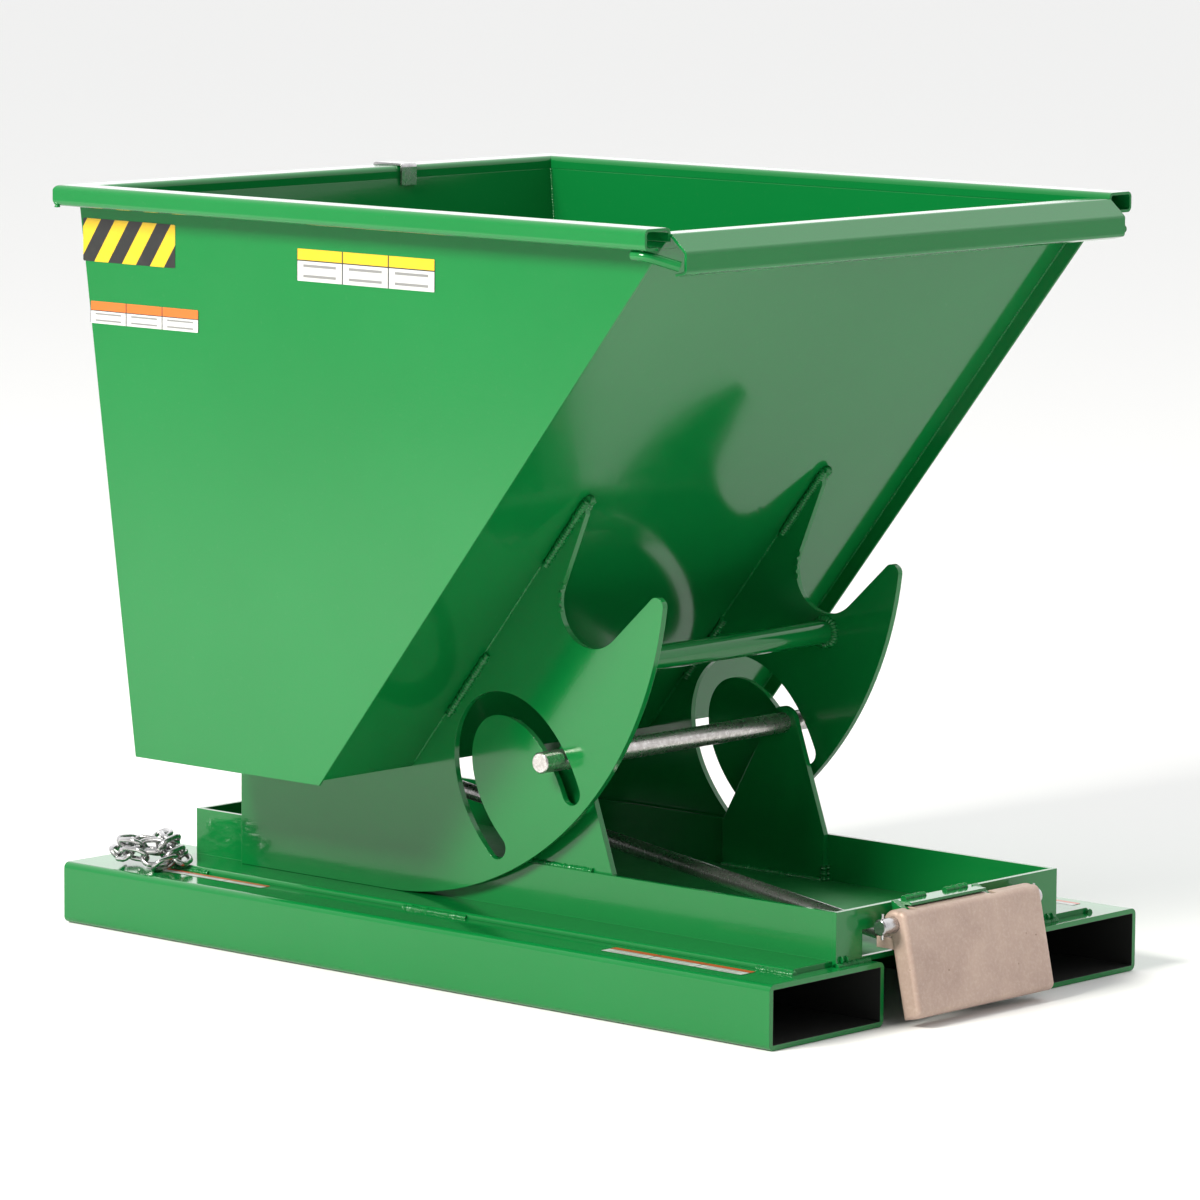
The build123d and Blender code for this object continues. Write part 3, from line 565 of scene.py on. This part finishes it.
class HOPPER_PG_finish(bpy.types.PropertyGroup):
    """Colours and surface grain of the hopper's materials."""

    paint: colour_property("Paint", "Green of the powder coat", (0.003, 0.163, 0.033))
    paint_deep: colour_property("Paint, deep", "Darker cloud in the paint", (0.0027, 0.152, 0.03))
    dust: colour_property("Dust", "Dust on the paint", (0.42, 0.45, 0.38))
    # This colour is painted shade: near black inside the fork tubes, where shade falls.
    bare_inside: colour_property("Bare inside", "Inside the fork tubes", (0.012, 0.013, 0.012))
    cast: colour_property("Cast", "Bumper's own colour", (0.47, 0.345, 0.285))
    cast_deep: colour_property("Cast, deep", "Darker patches on the bumper", (0.38, 0.27, 0.225))
    cast_pale: colour_property("Cast, pale", "Rubs and grain on the bumper", (0.62, 0.51, 0.45))
    cast_pit: colour_property("Cast, pits", "Rust in the bumper's pits", (0.16, 0.09, 0.05))
    steel: colour_property("Steel", "Ground rod", (0.66, 0.64, 0.63))
    steel_deep: colour_property("Steel, deep", "Mottling on the rod", (0.42, 0.38, 0.37))
    dark_steel: colour_property("Dark steel", "Release bar and latch", (0.4, 0.39, 0.39))
    dark_steel_deep: colour_property("Dark steel, deep", "Scale on the bar", (0.2, 0.195, 0.19))
    zinc: colour_property("Zinc", "Plated pin, clip and chain", (0.5, 0.495, 0.5))
    zinc_deep: colour_property("Zinc, deep", "Blotches in the plating", (0.34, 0.335, 0.345))
    sticker_yellow: colour_property("Yellow", "Sticker yellow", (0.62, 0.4, 0.01))
    sticker_orange: colour_property("Orange", "Sticker orange", (0.55, 0.13, 0.015))
    sticker_red: colour_property("Red", "Sticker red", (0.45, 0.05, 0.015))
    sticker_white: colour_property("White", "Sticker white", (0.5, 0.5, 0.5))
    sticker_grey: colour_property("Grey", "Plain bars on the stickers", (0.2, 0.2, 0.2))
    sticker_black: colour_property("Black", "Sticker black", (0.012, 0.012, 0.012))
    inside_roughness: FloatProperty(
        name="Inside roughness", description="Added inside the fork tubes", default=0.5
    )
    sticker_cells: FloatProperty(
        name="Cells", description="Cells along a sticker", default=3.0, min=1
    )
    stripe_count: FloatProperty(
        name="Stripes", description="Bands along the striped sticker", default=3.3, min=1
    )
    peel_scale: FloatProperty(
        name="Orange peel", description="Bumps per metre in the paint", default=330.0, min=1
    )
    peel_depth: length_property("Peel depth", "Height of the paint's bumps", 0.00006)
    edge_radius: length_property("Edge radius", "Softened edge of cut plate", 0.0008)


class HOPPER_PG_panels(bpy.types.PropertyGroup):
    """Outline of the tub's one-piece side sheets."""

    bottom_front: length_property("Bottom front", "Front corner behind the tubes' ends", 0.649)
    bottom_rear: length_property("Bottom rear", "Rear corner behind the tubes' ends", 0.961)
    front_slope: FloatProperty(
        name="Front slope", description="Forward run of the edge per height", default=FRONT_SLOPE
    )
    rear_inset: length_property("Rear inset", "Rear edge ahead of the rims' rear ends", 0.040)
    edge_bevel: length_property("Edge bevel", "Rounding of the sheared edges", 0.0008)


class HOPPER_PG_welds(bpy.types.PropertyGroup):
    """Weld beads."""

    fillet: length_property("Fillet", "Radius of a fillet bead", 0.0042)
    seam: length_property("Seam", "Radius of a thin seam bead", 0.0016)
    spot: length_property("Spot", "Radius of a weld spot", 0.0036)
    heavy: length_property("Heavy", "Radius of the beads between rockers and tub", 0.005)
    pitch: length_property("Pitch", "Length of one ripple", 0.0036)
    depth: FloatProperty(name="Depth", description="Ripple as a share of radius", default=0.16)
    seed: FloatProperty(name="Seed", description="Pattern of the bead's wander", default=4.0)


class HOPPER_PG_stickers(bpy.types.PropertyGroup):
    """Stickers, without lettering."""

    lift: length_property("Lift", "Height of the vinyl over the paint", 0.00035)
    corner: length_property("Corner", "Corner radius of a sticker", 0.002)


class HOPPER_PG_chain(bpy.types.PropertyGroup):
    """Safety chain in its pile."""

    wire: length_property("Wire", "Thickness of a link's wire", 0.0064)
    link_length: length_property("Link length", "Overall length of a link", 0.039)
    link_width: length_property("Link width", "Overall width of a link", 0.027)
    pitch: length_property("Pitch", "Distance from link to link", 0.0262)
    set_back: length_property("Set back", "Pile's centre behind the rail", 0.001)
    off_centre: length_property("Off centre", "Pile's centre to the right", 0.286)
    half_length: length_property("Half length", "Pile's reach along the tube", 0.05)
    half_width: length_property("Half width", "Pile's reach across the tube", 0.03)
    heap: length_property("Heap", "Rise of the upper turn over the lower", 0.024)
    spare: length_property("Spare", "Room under the lowest links", 0.004)
    sway: length_property("Sway", "Wander of the path across the tube", 0.004)
    bob: length_property("Bob", "Wander of the path's height", 0.003)
    turns: FloatProperty(name="Turns", description="Turns of the pile", default=2.35, min=0)
    steps: IntProperty(name="Steps", description="Points along the pile", default=48, min=4)
    lean: FloatProperty(
        name="Lean", description="Tilt of alternate links", default=radians(40), unit="ROTATION"
    )
    seed: IntProperty(name="Seed", description="Pattern of the links' stray", default=7, min=0)


class HOPPER_PG_stage(bpy.types.PropertyGroup):
    """Floor, lights and camera."""

    floor: colour_property("Floor", "Pale floor", (0.87, 0.87, 0.865))
    sky: FloatProperty(name="Sky", description="Brightness ahead of the camera", default=1.65, min=0)
    behind: FloatProperty(
        name="Behind", description="Brightness behind the camera", default=0.3, min=0
    )
    key_colour: colour_property("Key colour", "Key light's colour", (1.0, 0.98, 0.9))
    key_place: place_property("Key place", "Where the key light hangs", (-0.5, -5.4, 4.1))
    fill_place: place_property("Fill place", "Where the fill light hangs", (4.5, -1.0, 2.4))
    key: FloatProperty(name="Key", description="Key light", default=620.0, min=0, unit="POWER")
    fill: FloatProperty(name="Fill", description="Fill light", default=30.0, min=0, unit="POWER")
    camera_place: place_property(
        "Camera", "Where the camera stands", (5.20695, -5.82645, 1.48076)
    )
    camera_turn: FloatProperty(
        name="Turn", description="Heading, from +Y to +X", unit="ROTATION",
        default=radians(-41.848),
    )
    camera_tilt: FloatProperty(
        name="Tilt", description="Above level", unit="ROTATION", default=radians(-7.655)
    )
    camera_roll: FloatProperty(
        name="Roll", description="Turn about the line of sight", unit="ROTATION",
        default=radians(0.4148),
    )
    camera_lens: FloatProperty(
        name="Lens", description="Focal length in millimetres", default=194.25, min=1
    )


def settings_of(context):
    return context.scene.hopper


class HOPPER_PG_all(bpy.types.PropertyGroup):
    """All of the hopper's settings."""

    finish: PointerProperty(type=HOPPER_PG_finish)
    panels: PointerProperty(type=HOPPER_PG_panels)
    welds: PointerProperty(type=HOPPER_PG_welds)
    stickers: PointerProperty(type=HOPPER_PG_stickers)
    chain: PointerProperty(type=HOPPER_PG_chain)
    stage: PointerProperty(type=HOPPER_PG_stage)


# ------------------------------------------------------------------ operators
class HOPPER_OT_finishes(bpy.types.Operator):
    """Gives every carried-over part its paint or bare metal"""

    bl_idname = "hopper.finishes"
    bl_label = "Finish the Parts"

    def execute(self, context):
        finish = settings_of(context).finish
        paint(PAINTED, powder_coat(finish))
        paint(("tray_floor",), scuffed_coat(finish))
        inside_from = 0.006  # just within the tube wall
        inset = Vector((0.0, inside_from, inside_from))
        # Inside each fork tube the coat is painted near black, as painted shade.
        for name in TUBES:
            low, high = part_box(name)
            paint((name,), powder_coat(finish, f"coat_{name}", (low + inset, high - inset)))
        paint(CAST, cast_steel(finish))
        paint(ZINC_PLATED, zinc_plate(finish))
        mill_steel = turned_steel(
            finish, "mill_steel", finish.dark_steel, finish.dark_steel_deep,
            along=(4.0, 160.0, 160.0),
        )
        paint(BARE_DARK, mill_steel)
        ground_steel = turned_steel(
            finish, "ground_steel", finish.steel, finish.steel_deep, along=(500.0, 14.0, 500.0)
        )
        paint(("guide_rod",), ground_steel)
        return {"FINISHED"}


class HOPPER_OT_side_panels(bpy.types.Operator):
    """Makes each side of the tub as one sheet, in place of the frame's sheet and patch"""

    bl_idname = "hopper.side_panels"
    bl_label = "Side Panels"

    def execute(self, context):
        panels = settings_of(context).panels
        coat = bpy.data.materials["powder_coat"]
        tubes_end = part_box("fork_tube_right")[1].x
        rim_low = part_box("rim_right")[0]
        rear_top = rim_low.x + panels.rear_inset
        bottom_front = tubes_end - panels.bottom_front
        for side, sign in SIDES:
            low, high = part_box(f"side_sheet_{side}")
            outline = [
                (tubes_end - panels.bottom_rear, low.z),
                (bottom_front, low.z),
                (bottom_front + panels.front_slope * (high.z - low.z), high.z),
                (rear_top, high.z),
                (rear_top, rim_low.z),
                (low.x, rim_low.z),
            ]
            outer = low.y if sign < 0 else high.y
            mesh = bpy.data.meshes.new(f"side_panel_{side}")
            corners = [(x, outer, z) for x, z in outline]
            order = range(len(corners)) if sign < 0 else reversed(range(len(corners)))
            mesh.from_pydata(corners, [], [tuple(order)])
            panel = link_piece(f"side_panel_{side}", mesh, coat, "tub")
            wall = panel.modifiers.new("Sheet", "SOLIDIFY")
            wall.thickness = high.y - low.y
            wall.offset = -1.0
            rounding = panel.modifiers.new("Edges", "BEVEL")
            rounding.width = panels.edge_bevel
            rounding.segments = 2
            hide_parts(f"side_sheet_{side}", f"side_patch_{side}")
        return {"FINISHED"}


class HOPPER_OT_weld_beads(bpy.types.Operator):
    """Lays weld beads along the joints of the base and of the tub"""

    bl_idname = "hopper.weld_beads"
    bl_label = "Weld Beads"

    def execute(self, context):
        welds = settings_of(context).welds
        coat = bpy.data.materials["powder_coat"]
        tree = bead_tree()
        for name, body, radius, paths in (
            ("welds_base", "base", welds.fillet, base_fillets()),
            ("welds_tub", "tub", welds.heavy, tub_fillets()),
            ("seams_tub", "tub", welds.seam, tub_seams()),
            ("weld_spots_base", "base", welds.spot, base_spots()),
            ("weld_spots_tub", "tub", welds.spot, tub_spots()),
        ):
            holder = polyline_object(name + "_beads", paths)
            tree.run(
                holder, radius=radius, ripple_pitch=welds.pitch, ripple_depth=welds.depth,
                seed=welds.seed, material=coat,
            )
            link_piece(name, evaluated_mesh(holder, name), coat, body)
        return {"FINISHED"}


def straight(first, second):
    """Path of one straight run: (points, closed)."""
    return [first, second], False


def ring_path(centre, radius, steps=32):
    """Closed path round centre in the plane across Y: (points, closed)."""
    points = []
    for i in range(steps):
        angle = 2 * pi * i / steps
        points.append((centre[0] + radius * cos(angle), centre[1], centre[2] + radius * sin(angle)))
    return points, True


def faces(node, sign):
    """Y of a node's inner and outer face, on the side of that sign."""
    low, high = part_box(node)
    near, far = sorted((abs(low.y), abs(high.y)))
    return sign * near, sign * far


def base_fillets():
    """Bead paths on the base."""
    foot_runs = ((-0.078, 0.026), (0.481, 0.537), (-0.47, -0.41))  # X, beside the rails' feet
    corner_run = 0.06  # inwards under the front plate's ends
    upright_insets = (0.01, 0.03)  # from an upright's rear and front edge, on the rail
    lug_places, lug_heights = (-0.096, 0.042, 0.052), (0.104, 0.136)  # Y, and ends in Z
    bridge_runs = ((0.012, 0.05), (0.088, 0.126))  # from the bridge's right end
    paths = []
    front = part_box("front_plate")[1]
    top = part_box("fork_tube_right")[1].z
    for side, sign in SIDES:
        rail_low, rail_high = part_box(f"rail_{side}")
        up_low, up_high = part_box(f"upright_{side}")
        toe = faces(f"rail_{side}", sign)[1]
        web = sign * abs(front.y)
        for start, end in foot_runs:
            paths.append(straight((start, toe, top), (end, toe, top)))
        paths.append(straight((front.x, web, top), (front.x, web - sign * corner_run, top)))
        paths.append(straight((rail_low.x, toe, top), (rail_low.x, web, top)))
        inner, outer = faces(f"upright_{side}", sign)
        paths.append(straight((up_low.x, inner, up_low.z), (up_high.x, inner, up_low.z)))
        start, end = up_low.x + upright_insets[0], up_high.x - upright_insets[1]
        paths.append(straight((start, outer, rail_high.z), (end, outer, rail_high.z)))
    for y in lug_places:
        paths.append(straight(*((front.x, y, z) for z in lug_heights)))
    bridge_low, bridge_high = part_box("lug_bridge")
    for run in bridge_runs:
        ends = ((bridge_low.x, bridge_low.y + y, bridge_high.z) for y in run)
        paths.append(straight(*ends))
    return paths


def panel_x(z):
    """X of the slanting front sheet's outer face at height z."""
    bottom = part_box("bottom_sheet")[1]
    return bottom.x + FRONT_SLOPE * (z - bottom.z)


def under_panel(z, face, off):
    """Point beside a rocker's face, that far under the slanting front sheet at height z."""
    slope = Vector((FRONT_SLOPE, 1.0)).normalized()
    return panel_x(z) + slope.y * off, face, z - slope.x * off


def tub_fillets():
    """Bead paths between the tub and its rockers, and round the cross tube's ends."""
    off = 0.0045  # keeps the beads from showing through the sheets
    front_runs = ((0.505, 0.588), (0.31, 0.39))  # Z, up the front sheet
    bottom_runs = ((0.03, 0.09), (0.16, 0.22))  # from a rocker's rear edge
    tip = 0.588  # Z of the bead across a rocker's edge
    ring_radius, ring_inset = 0.0155, 0.0005
    paths = []
    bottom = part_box("bottom_sheet")[0].z - off
    cross_low, cross_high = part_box("cross_tube")
    cross = (cross_low + cross_high) / 2
    for side, sign in SIDES:
        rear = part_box(f"rocker_{side}")[0].x
        inner, outer = faces(f"rocker_{side}", sign)
        for face in (outer, inner):
            for run in front_runs:
                paths.append(straight(*(under_panel(z, face, off) for z in run)))
            for run in bottom_runs:
                paths.append(straight(*((rear + x, face, bottom) for x in run)))
        paths.append(straight(under_panel(tip, inner, off), under_panel(tip, outer, off)))
        paths.append(ring_path((cross.x, inner - sign * ring_inset, cross.z), ring_radius))
    return paths


def tub_seams():
    """Thin seam paths where the tub's sheets meet."""
    rocker_run = (0.245, 0.5)  # Z, between the fillets on a rocker
    seam_top = 0.903
    paths = []
    front_low, front_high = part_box("front_sheet")
    rear_low, rear_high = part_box("rear_sheet")
    for side, sign in SIDES:
        for face in sorted(faces(f"rocker_{side}", sign)):
            paths.append(straight(*((panel_x(z), face, z) for z in rocker_run)))
        y = sign * abs(front_high.y)
        heights = (front_low.z, seam_top)
        inner = [(panel_x(z) - SHEET_ALONG, y, z) for z in heights]
        outer = [(panel_x(z), y, z) for z in heights]
        rear = [(rear_high.x, y, front_low.z), (rear_low.x + SHEET, y, rear_high.z)]
        for run in (inner, outer, rear, (rear[0], inner[0])):
            paths.append(straight(*run))
    return paths


def short_bead(place, direction, length=0.005):
    """A bead so short that it is a blob."""
    reach = Vector(direction) * length / 2
    return straight(tuple(Vector(place) - reach), tuple(Vector(place) + reach))


def base_spots():
    """Weld blobs at the feet of the uprights and at the tray's front corners."""
    foot_rises = (0.003, 0.010, 0.017)
    corner_pitch, corner_rise, corner_length = 0.009, 0.001, 0.003
    spots = []
    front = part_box("front_plate")[1]
    for side, sign in SIDES:
        low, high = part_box(f"upright_{side}")
        for y in (low.y, high.y):
            for rise in foot_rises:
                spots.append(short_bead((high.x, y, low.z + rise), (0, 0, 1)))
        for step in (1, 2):
            place = (front.x, sign * (abs(front.y) - corner_pitch * step), low.z + corner_rise)
            spots.append(short_bead(place, (0, 1, 0), corner_length))
    return spots


def tub_spots():
    """Weld blobs at the rockers' tips, in their notches and at the rim's rear corners."""
    tip, tip_off = 0.586, 0.003  # Z, and how far under the sheet
    notch_x, notch_z, notch_radius = 0.17257, 0.4607, 0.051  # arc of a rocker's notch
    notch_turns, notch_length = (158, 170, 178, 190), 0.003
    rim_inset, rim_rise, rim_side, rim_length = 0.004, 0.003, 0.441, 0.01
    spots = []
    rim_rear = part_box("rim_rear")[0]
    for side, sign in SIDES:
        low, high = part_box(f"rocker_{side}")
        for y in (low.y, (low.y + high.y) / 2, high.y):
            spots.append(short_bead(under_panel(tip, y, tip_off), (0, 1, 0)))
        for turn in notch_turns:
            x = notch_x + notch_radius * cos(radians(turn))
            z = notch_z + notch_radius * sin(radians(turn))
            spots.append(short_bead((x, low.y, z), (0, 1, 0), notch_length))
        corner = (rim_rear.x + rim_inset, sign * rim_side, rim_rear.z + rim_rise)
        spots.append(short_bead(corner, (0, 0, 1), rim_length))
    return spots


def sticker_mesh(name, centre, across, up, width, height, corner):
    """Flat rounded rectangle with a UV map from 0 to 1, facing across x up."""
    across, up = Vector(across), Vector(up)
    steps = 5
    points = []
    for cx, cy, start in ((1, 1, 0.0), (-1, 1, 0.5 * pi), (-1, -1, pi), (1, -1, 1.5 * pi)):
        for i in range(steps + 1):
            angle = start + 0.5 * pi * i / steps
            points.append((
                cx * (width / 2 - corner) + corner * cos(angle),
                cy * (height / 2 - corner) + corner * sin(angle),
            ))
    mesh = bpy.data.meshes.new(name)
    places = [Vector(centre) + across * x + up * y for x, y in points]
    mesh.from_pydata([tuple(p) for p in places], [], [tuple(range(len(points)))])
    layer = mesh.uv_layers.new(name="UVMap")
    for loop in mesh.loops:
        x, y = points[loop.vertex_index]
        layer.data[loop.index].uv = (x / width + 0.5, y / height + 0.5)
    return mesh


class HOPPER_OT_stickers(bpy.types.Operator):
    """Puts plain stickers, without lettering, on the side sheet and the fork tubes"""

    bl_idname = "hopper.stickers"
    bl_label = "Stickers"

    def execute(self, context):
        finish = settings_of(context).finish
        stickers = settings_of(context).stickers
        finishes = {"striped": striped_sticker(finish)}
        for name, header_share in (("yellow", 0.36), ("orange", 0.42), ("red", 0.4)):
            header = getattr(finish, f"sticker_{name}")
            finishes[name] = celled_sticker(finish, f"sticker_{name}", header, header_share)
        side_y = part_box("side_sheet_right")[0].y - stickers.lift
        top_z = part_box("fork_tube_right")[1].z + stickers.lift
        for name, look, low, high in SIDE_STICKERS:
            centre = ((low[0] + high[0]) / 2, side_y, (low[1] + high[1]) / 2)
            mesh = sticker_mesh(
                name, centre, (1, 0, 0), (0, 0, 1), high[0] - low[0], high[1] - low[1],
                stickers.corner,
            )
            link_piece(name, mesh, finishes[look], "tub")
        for name, start, end, y, width in TUBE_STICKERS:
            centre = ((start + end) / 2, y, top_z)
            mesh = sticker_mesh(
                name, centre, (1, 0, 0), (0, 1, 0), end - start, width, stickers.corner
            )
            link_piece(name, mesh, finishes["red"], "base")
        return {"FINISHED"}


class HOPPER_OT_safety_chain(bpy.types.Operator):
    """Lays the safety chain in its pile on the right fork tube"""

    bl_idname = "hopper.safety_chain"
    bl_label = "Safety Chain"

    def execute(self, context):
        chain = settings_of(context).chain
        start_turn = 0.5
        taper_along, taper_across = 0.35, 0.25  # by which the last turn is tighter
        sways, bobs = 5, 3  # in each turn
        tube_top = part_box("fork_tube_right")[1].z
        rail_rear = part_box("rail_right")[0].x
        centre_x, centre_y = rail_rear - chain.set_back, -chain.off_centre
        rise = sin(chain.lean) * (chain.link_width - chain.wire) / 2 + chain.wire / 2
        rest = tube_top + rise + chain.spare
        points = []
        for i in range(chain.steps + 1):
            t = i / chain.steps
            turn = 2 * pi * chain.turns * t - start_turn
            reach_x = chain.half_length * (1.0 - taper_along * t)
            reach_y = chain.half_width * (1.0 - taper_across * t)
            points.append((
                centre_x + reach_x * cos(turn),
                centre_y + reach_y * sin(turn) + chain.sway * sin(sways * turn),
                rest + chain.heap * t * t + chain.bob * sin(bobs * turn),
            ))
        holder = polyline_object("chain_path", [(points, False)])
        zinc = bpy.data.materials["zinc_plate"]
        chain_tree().run(
            holder, wire=chain.wire, link_length=chain.link_length, link_width=chain.link_width,
            pitch=chain.pitch, lean=chain.lean, seed=chain.seed, material=zinc,
        )
        pile = link_piece(
            "chain_pile", evaluated_mesh(holder, "chain_pile"), zinc, "base"
        )
        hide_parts("safety_chain")
        return {"FINISHED"}


def area_light(name, place, size, power, colour):
    """Rectangular light at place, turned to the hopper's middle."""
    middle = Vector((0.0, 0.0, 0.5))
    lamp = bpy.data.lights.new(name, "AREA")
    lamp.shape = "RECTANGLE"
    lamp.size, lamp.size_y = size
    lamp.energy = power
    lamp.color = colour
    made = bpy.data.objects.new(name, lamp)
    made.location = place
    made.rotation_euler = (middle - Vector(place)).to_track_quat("-Z", "Y").to_euler()
    bpy.context.scene.collection.objects.link(made)


def studio_world(stage, ahead):
    """White studio walls ahead of the camera, darker behind it."""
    edge = 0.6  # cosine from straight ahead or behind, where the blend between them ends
    world = bpy.data.worlds.new("studio")
    world.use_nodes = True
    tree = world.node_tree
    background = next(n for n in tree.nodes if n.type == "BACKGROUND")
    background.inputs["Color"].default_value = (1.0, 1.0, 1.0, 1.0)
    direction = tree.nodes.new("ShaderNodeTexCoord").outputs["Generated"]
    facing = tree.nodes.new("ShaderNodeVectorMath")
    facing.operation = "DOT_PRODUCT"
    tree.links.new(direction, facing.inputs[0])
    facing.inputs[1].default_value = Vector((ahead.x, ahead.y, 0.0)).normalized()
    fall = tree.nodes.new("ShaderNodeMapRange")
    fall.interpolation_type = "SMOOTHSTEP"
    tree.links.new(facing.outputs["Value"], fall.inputs["Value"])
    for name, value in (
        ("From Min", -edge), ("From Max", edge), ("To Min", stage.behind), ("To Max", stage.sky)
    ):
        fall.inputs[name].default_value = value
    tree.links.new(fall.outputs["Result"], background.inputs["Strength"])
    return world


class HOPPER_OT_stage(bpy.types.Operator):
    """Sets up the floor, the lights and the camera"""

    bl_idname = "hopper.stage"
    bl_label = "Stage"

    def execute(self, context):
        stage = settings_of(context).stage
        reach = 120.0
        height = -0.0006  # just under the hopper
        mesh = bpy.data.meshes.new("floor")
        mesh.from_pydata(
            [(-reach, -reach, height), (reach, -reach, height),
             (reach, reach, height), (-reach, reach, height)],
            [], [(0, 1, 2, 3)],
        )
        mesh.materials.append(matt_floor(stage))
        floor = bpy.data.objects.new("floor", mesh)
        context.scene.collection.objects.link(floor)

        ahead = Vector((
            cos(stage.camera_tilt) * sin(stage.camera_turn),
            cos(stage.camera_tilt) * cos(stage.camera_turn),
            sin(stage.camera_tilt),
        ))
        context.scene.world = studio_world(stage, ahead)
        context.scene.view_settings.view_transform = "Standard"

        area_light("key_light", stage.key_place, (2.2, 1.8), stage.key, stage.key_colour)
        area_light("fill_light", stage.fill_place, (3.0, 3.0), stage.fill, (1.0, 1.0, 1.0))

        lens = bpy.data.cameras.new("camera")
        lens.lens = stage.camera_lens
        lens.sensor_width = 36.0
        lens.clip_end = 500.0
        camera = bpy.data.objects.new("camera", lens)
        level = ahead.cross(Vector((0, 0, 1))).normalized()
        upward = level.cross(ahead)
        across = level * cos(stage.camera_roll) + upward * sin(stage.camera_roll)
        above = upward * cos(stage.camera_roll) - level * sin(stage.camera_roll)
        turn = Matrix((across, above, -ahead)).transposed().to_4x4()
        camera.matrix_world = Matrix.Translation(Vector(stage.camera_place)) @ turn
        context.scene.collection.objects.link(camera)
        context.scene.camera = camera
        return {"FINISHED"}


class HOPPER_PT_panel(bpy.types.Panel):
    """Buttons and settings of the hopper"""

    bl_idname = "HOPPER_PT_panel"
    bl_label = "Tipping Hopper"
    bl_space_type = "VIEW_3D"
    bl_region_type = "UI"
    bl_category = "Hopper"

    def draw(self, context):
        for operator in OPERATORS:
            self.layout.operator(operator.bl_idname)
        groups = settings_of(context)
        for name in ("finish", "panels", "welds", "stickers", "chain", "stage"):
            box = self.layout.box()
            box.label(text=name.capitalize())
            group = getattr(groups, name)
            for key in group.__annotations__:
                box.prop(group, key)


GROUPS = (
    HOPPER_PG_finish,
    HOPPER_PG_panels,
    HOPPER_PG_welds,
    HOPPER_PG_stickers,
    HOPPER_PG_chain,
    HOPPER_PG_stage,
    HOPPER_PG_all,
)
OPERATORS = (
    HOPPER_OT_stage,
    HOPPER_OT_finishes,
    HOPPER_OT_side_panels,
    HOPPER_OT_weld_beads,
    HOPPER_OT_stickers,
    HOPPER_OT_safety_chain,
)
CLASSES = (*GROUPS, *OPERATORS, HOPPER_PT_panel)


def register():
    for cls in CLASSES:
        bpy.utils.register_class(cls)
    bpy.types.Scene.hopper = PointerProperty(type=HOPPER_PG_all)


def unregister():
    del bpy.types.Scene.hopper
    for cls in reversed(CLASSES):
        bpy.utils.unregister_class(cls)


def main():
    register()
    bpy.ops.hopper.stage()
    bpy.ops.hopper.finishes()
    bpy.ops.hopper.side_panels()
    bpy.ops.hopper.weld_beads()
    bpy.ops.hopper.stickers()
    bpy.ops.hopper.safety_chain()


if __name__ == "__main__":
    main()
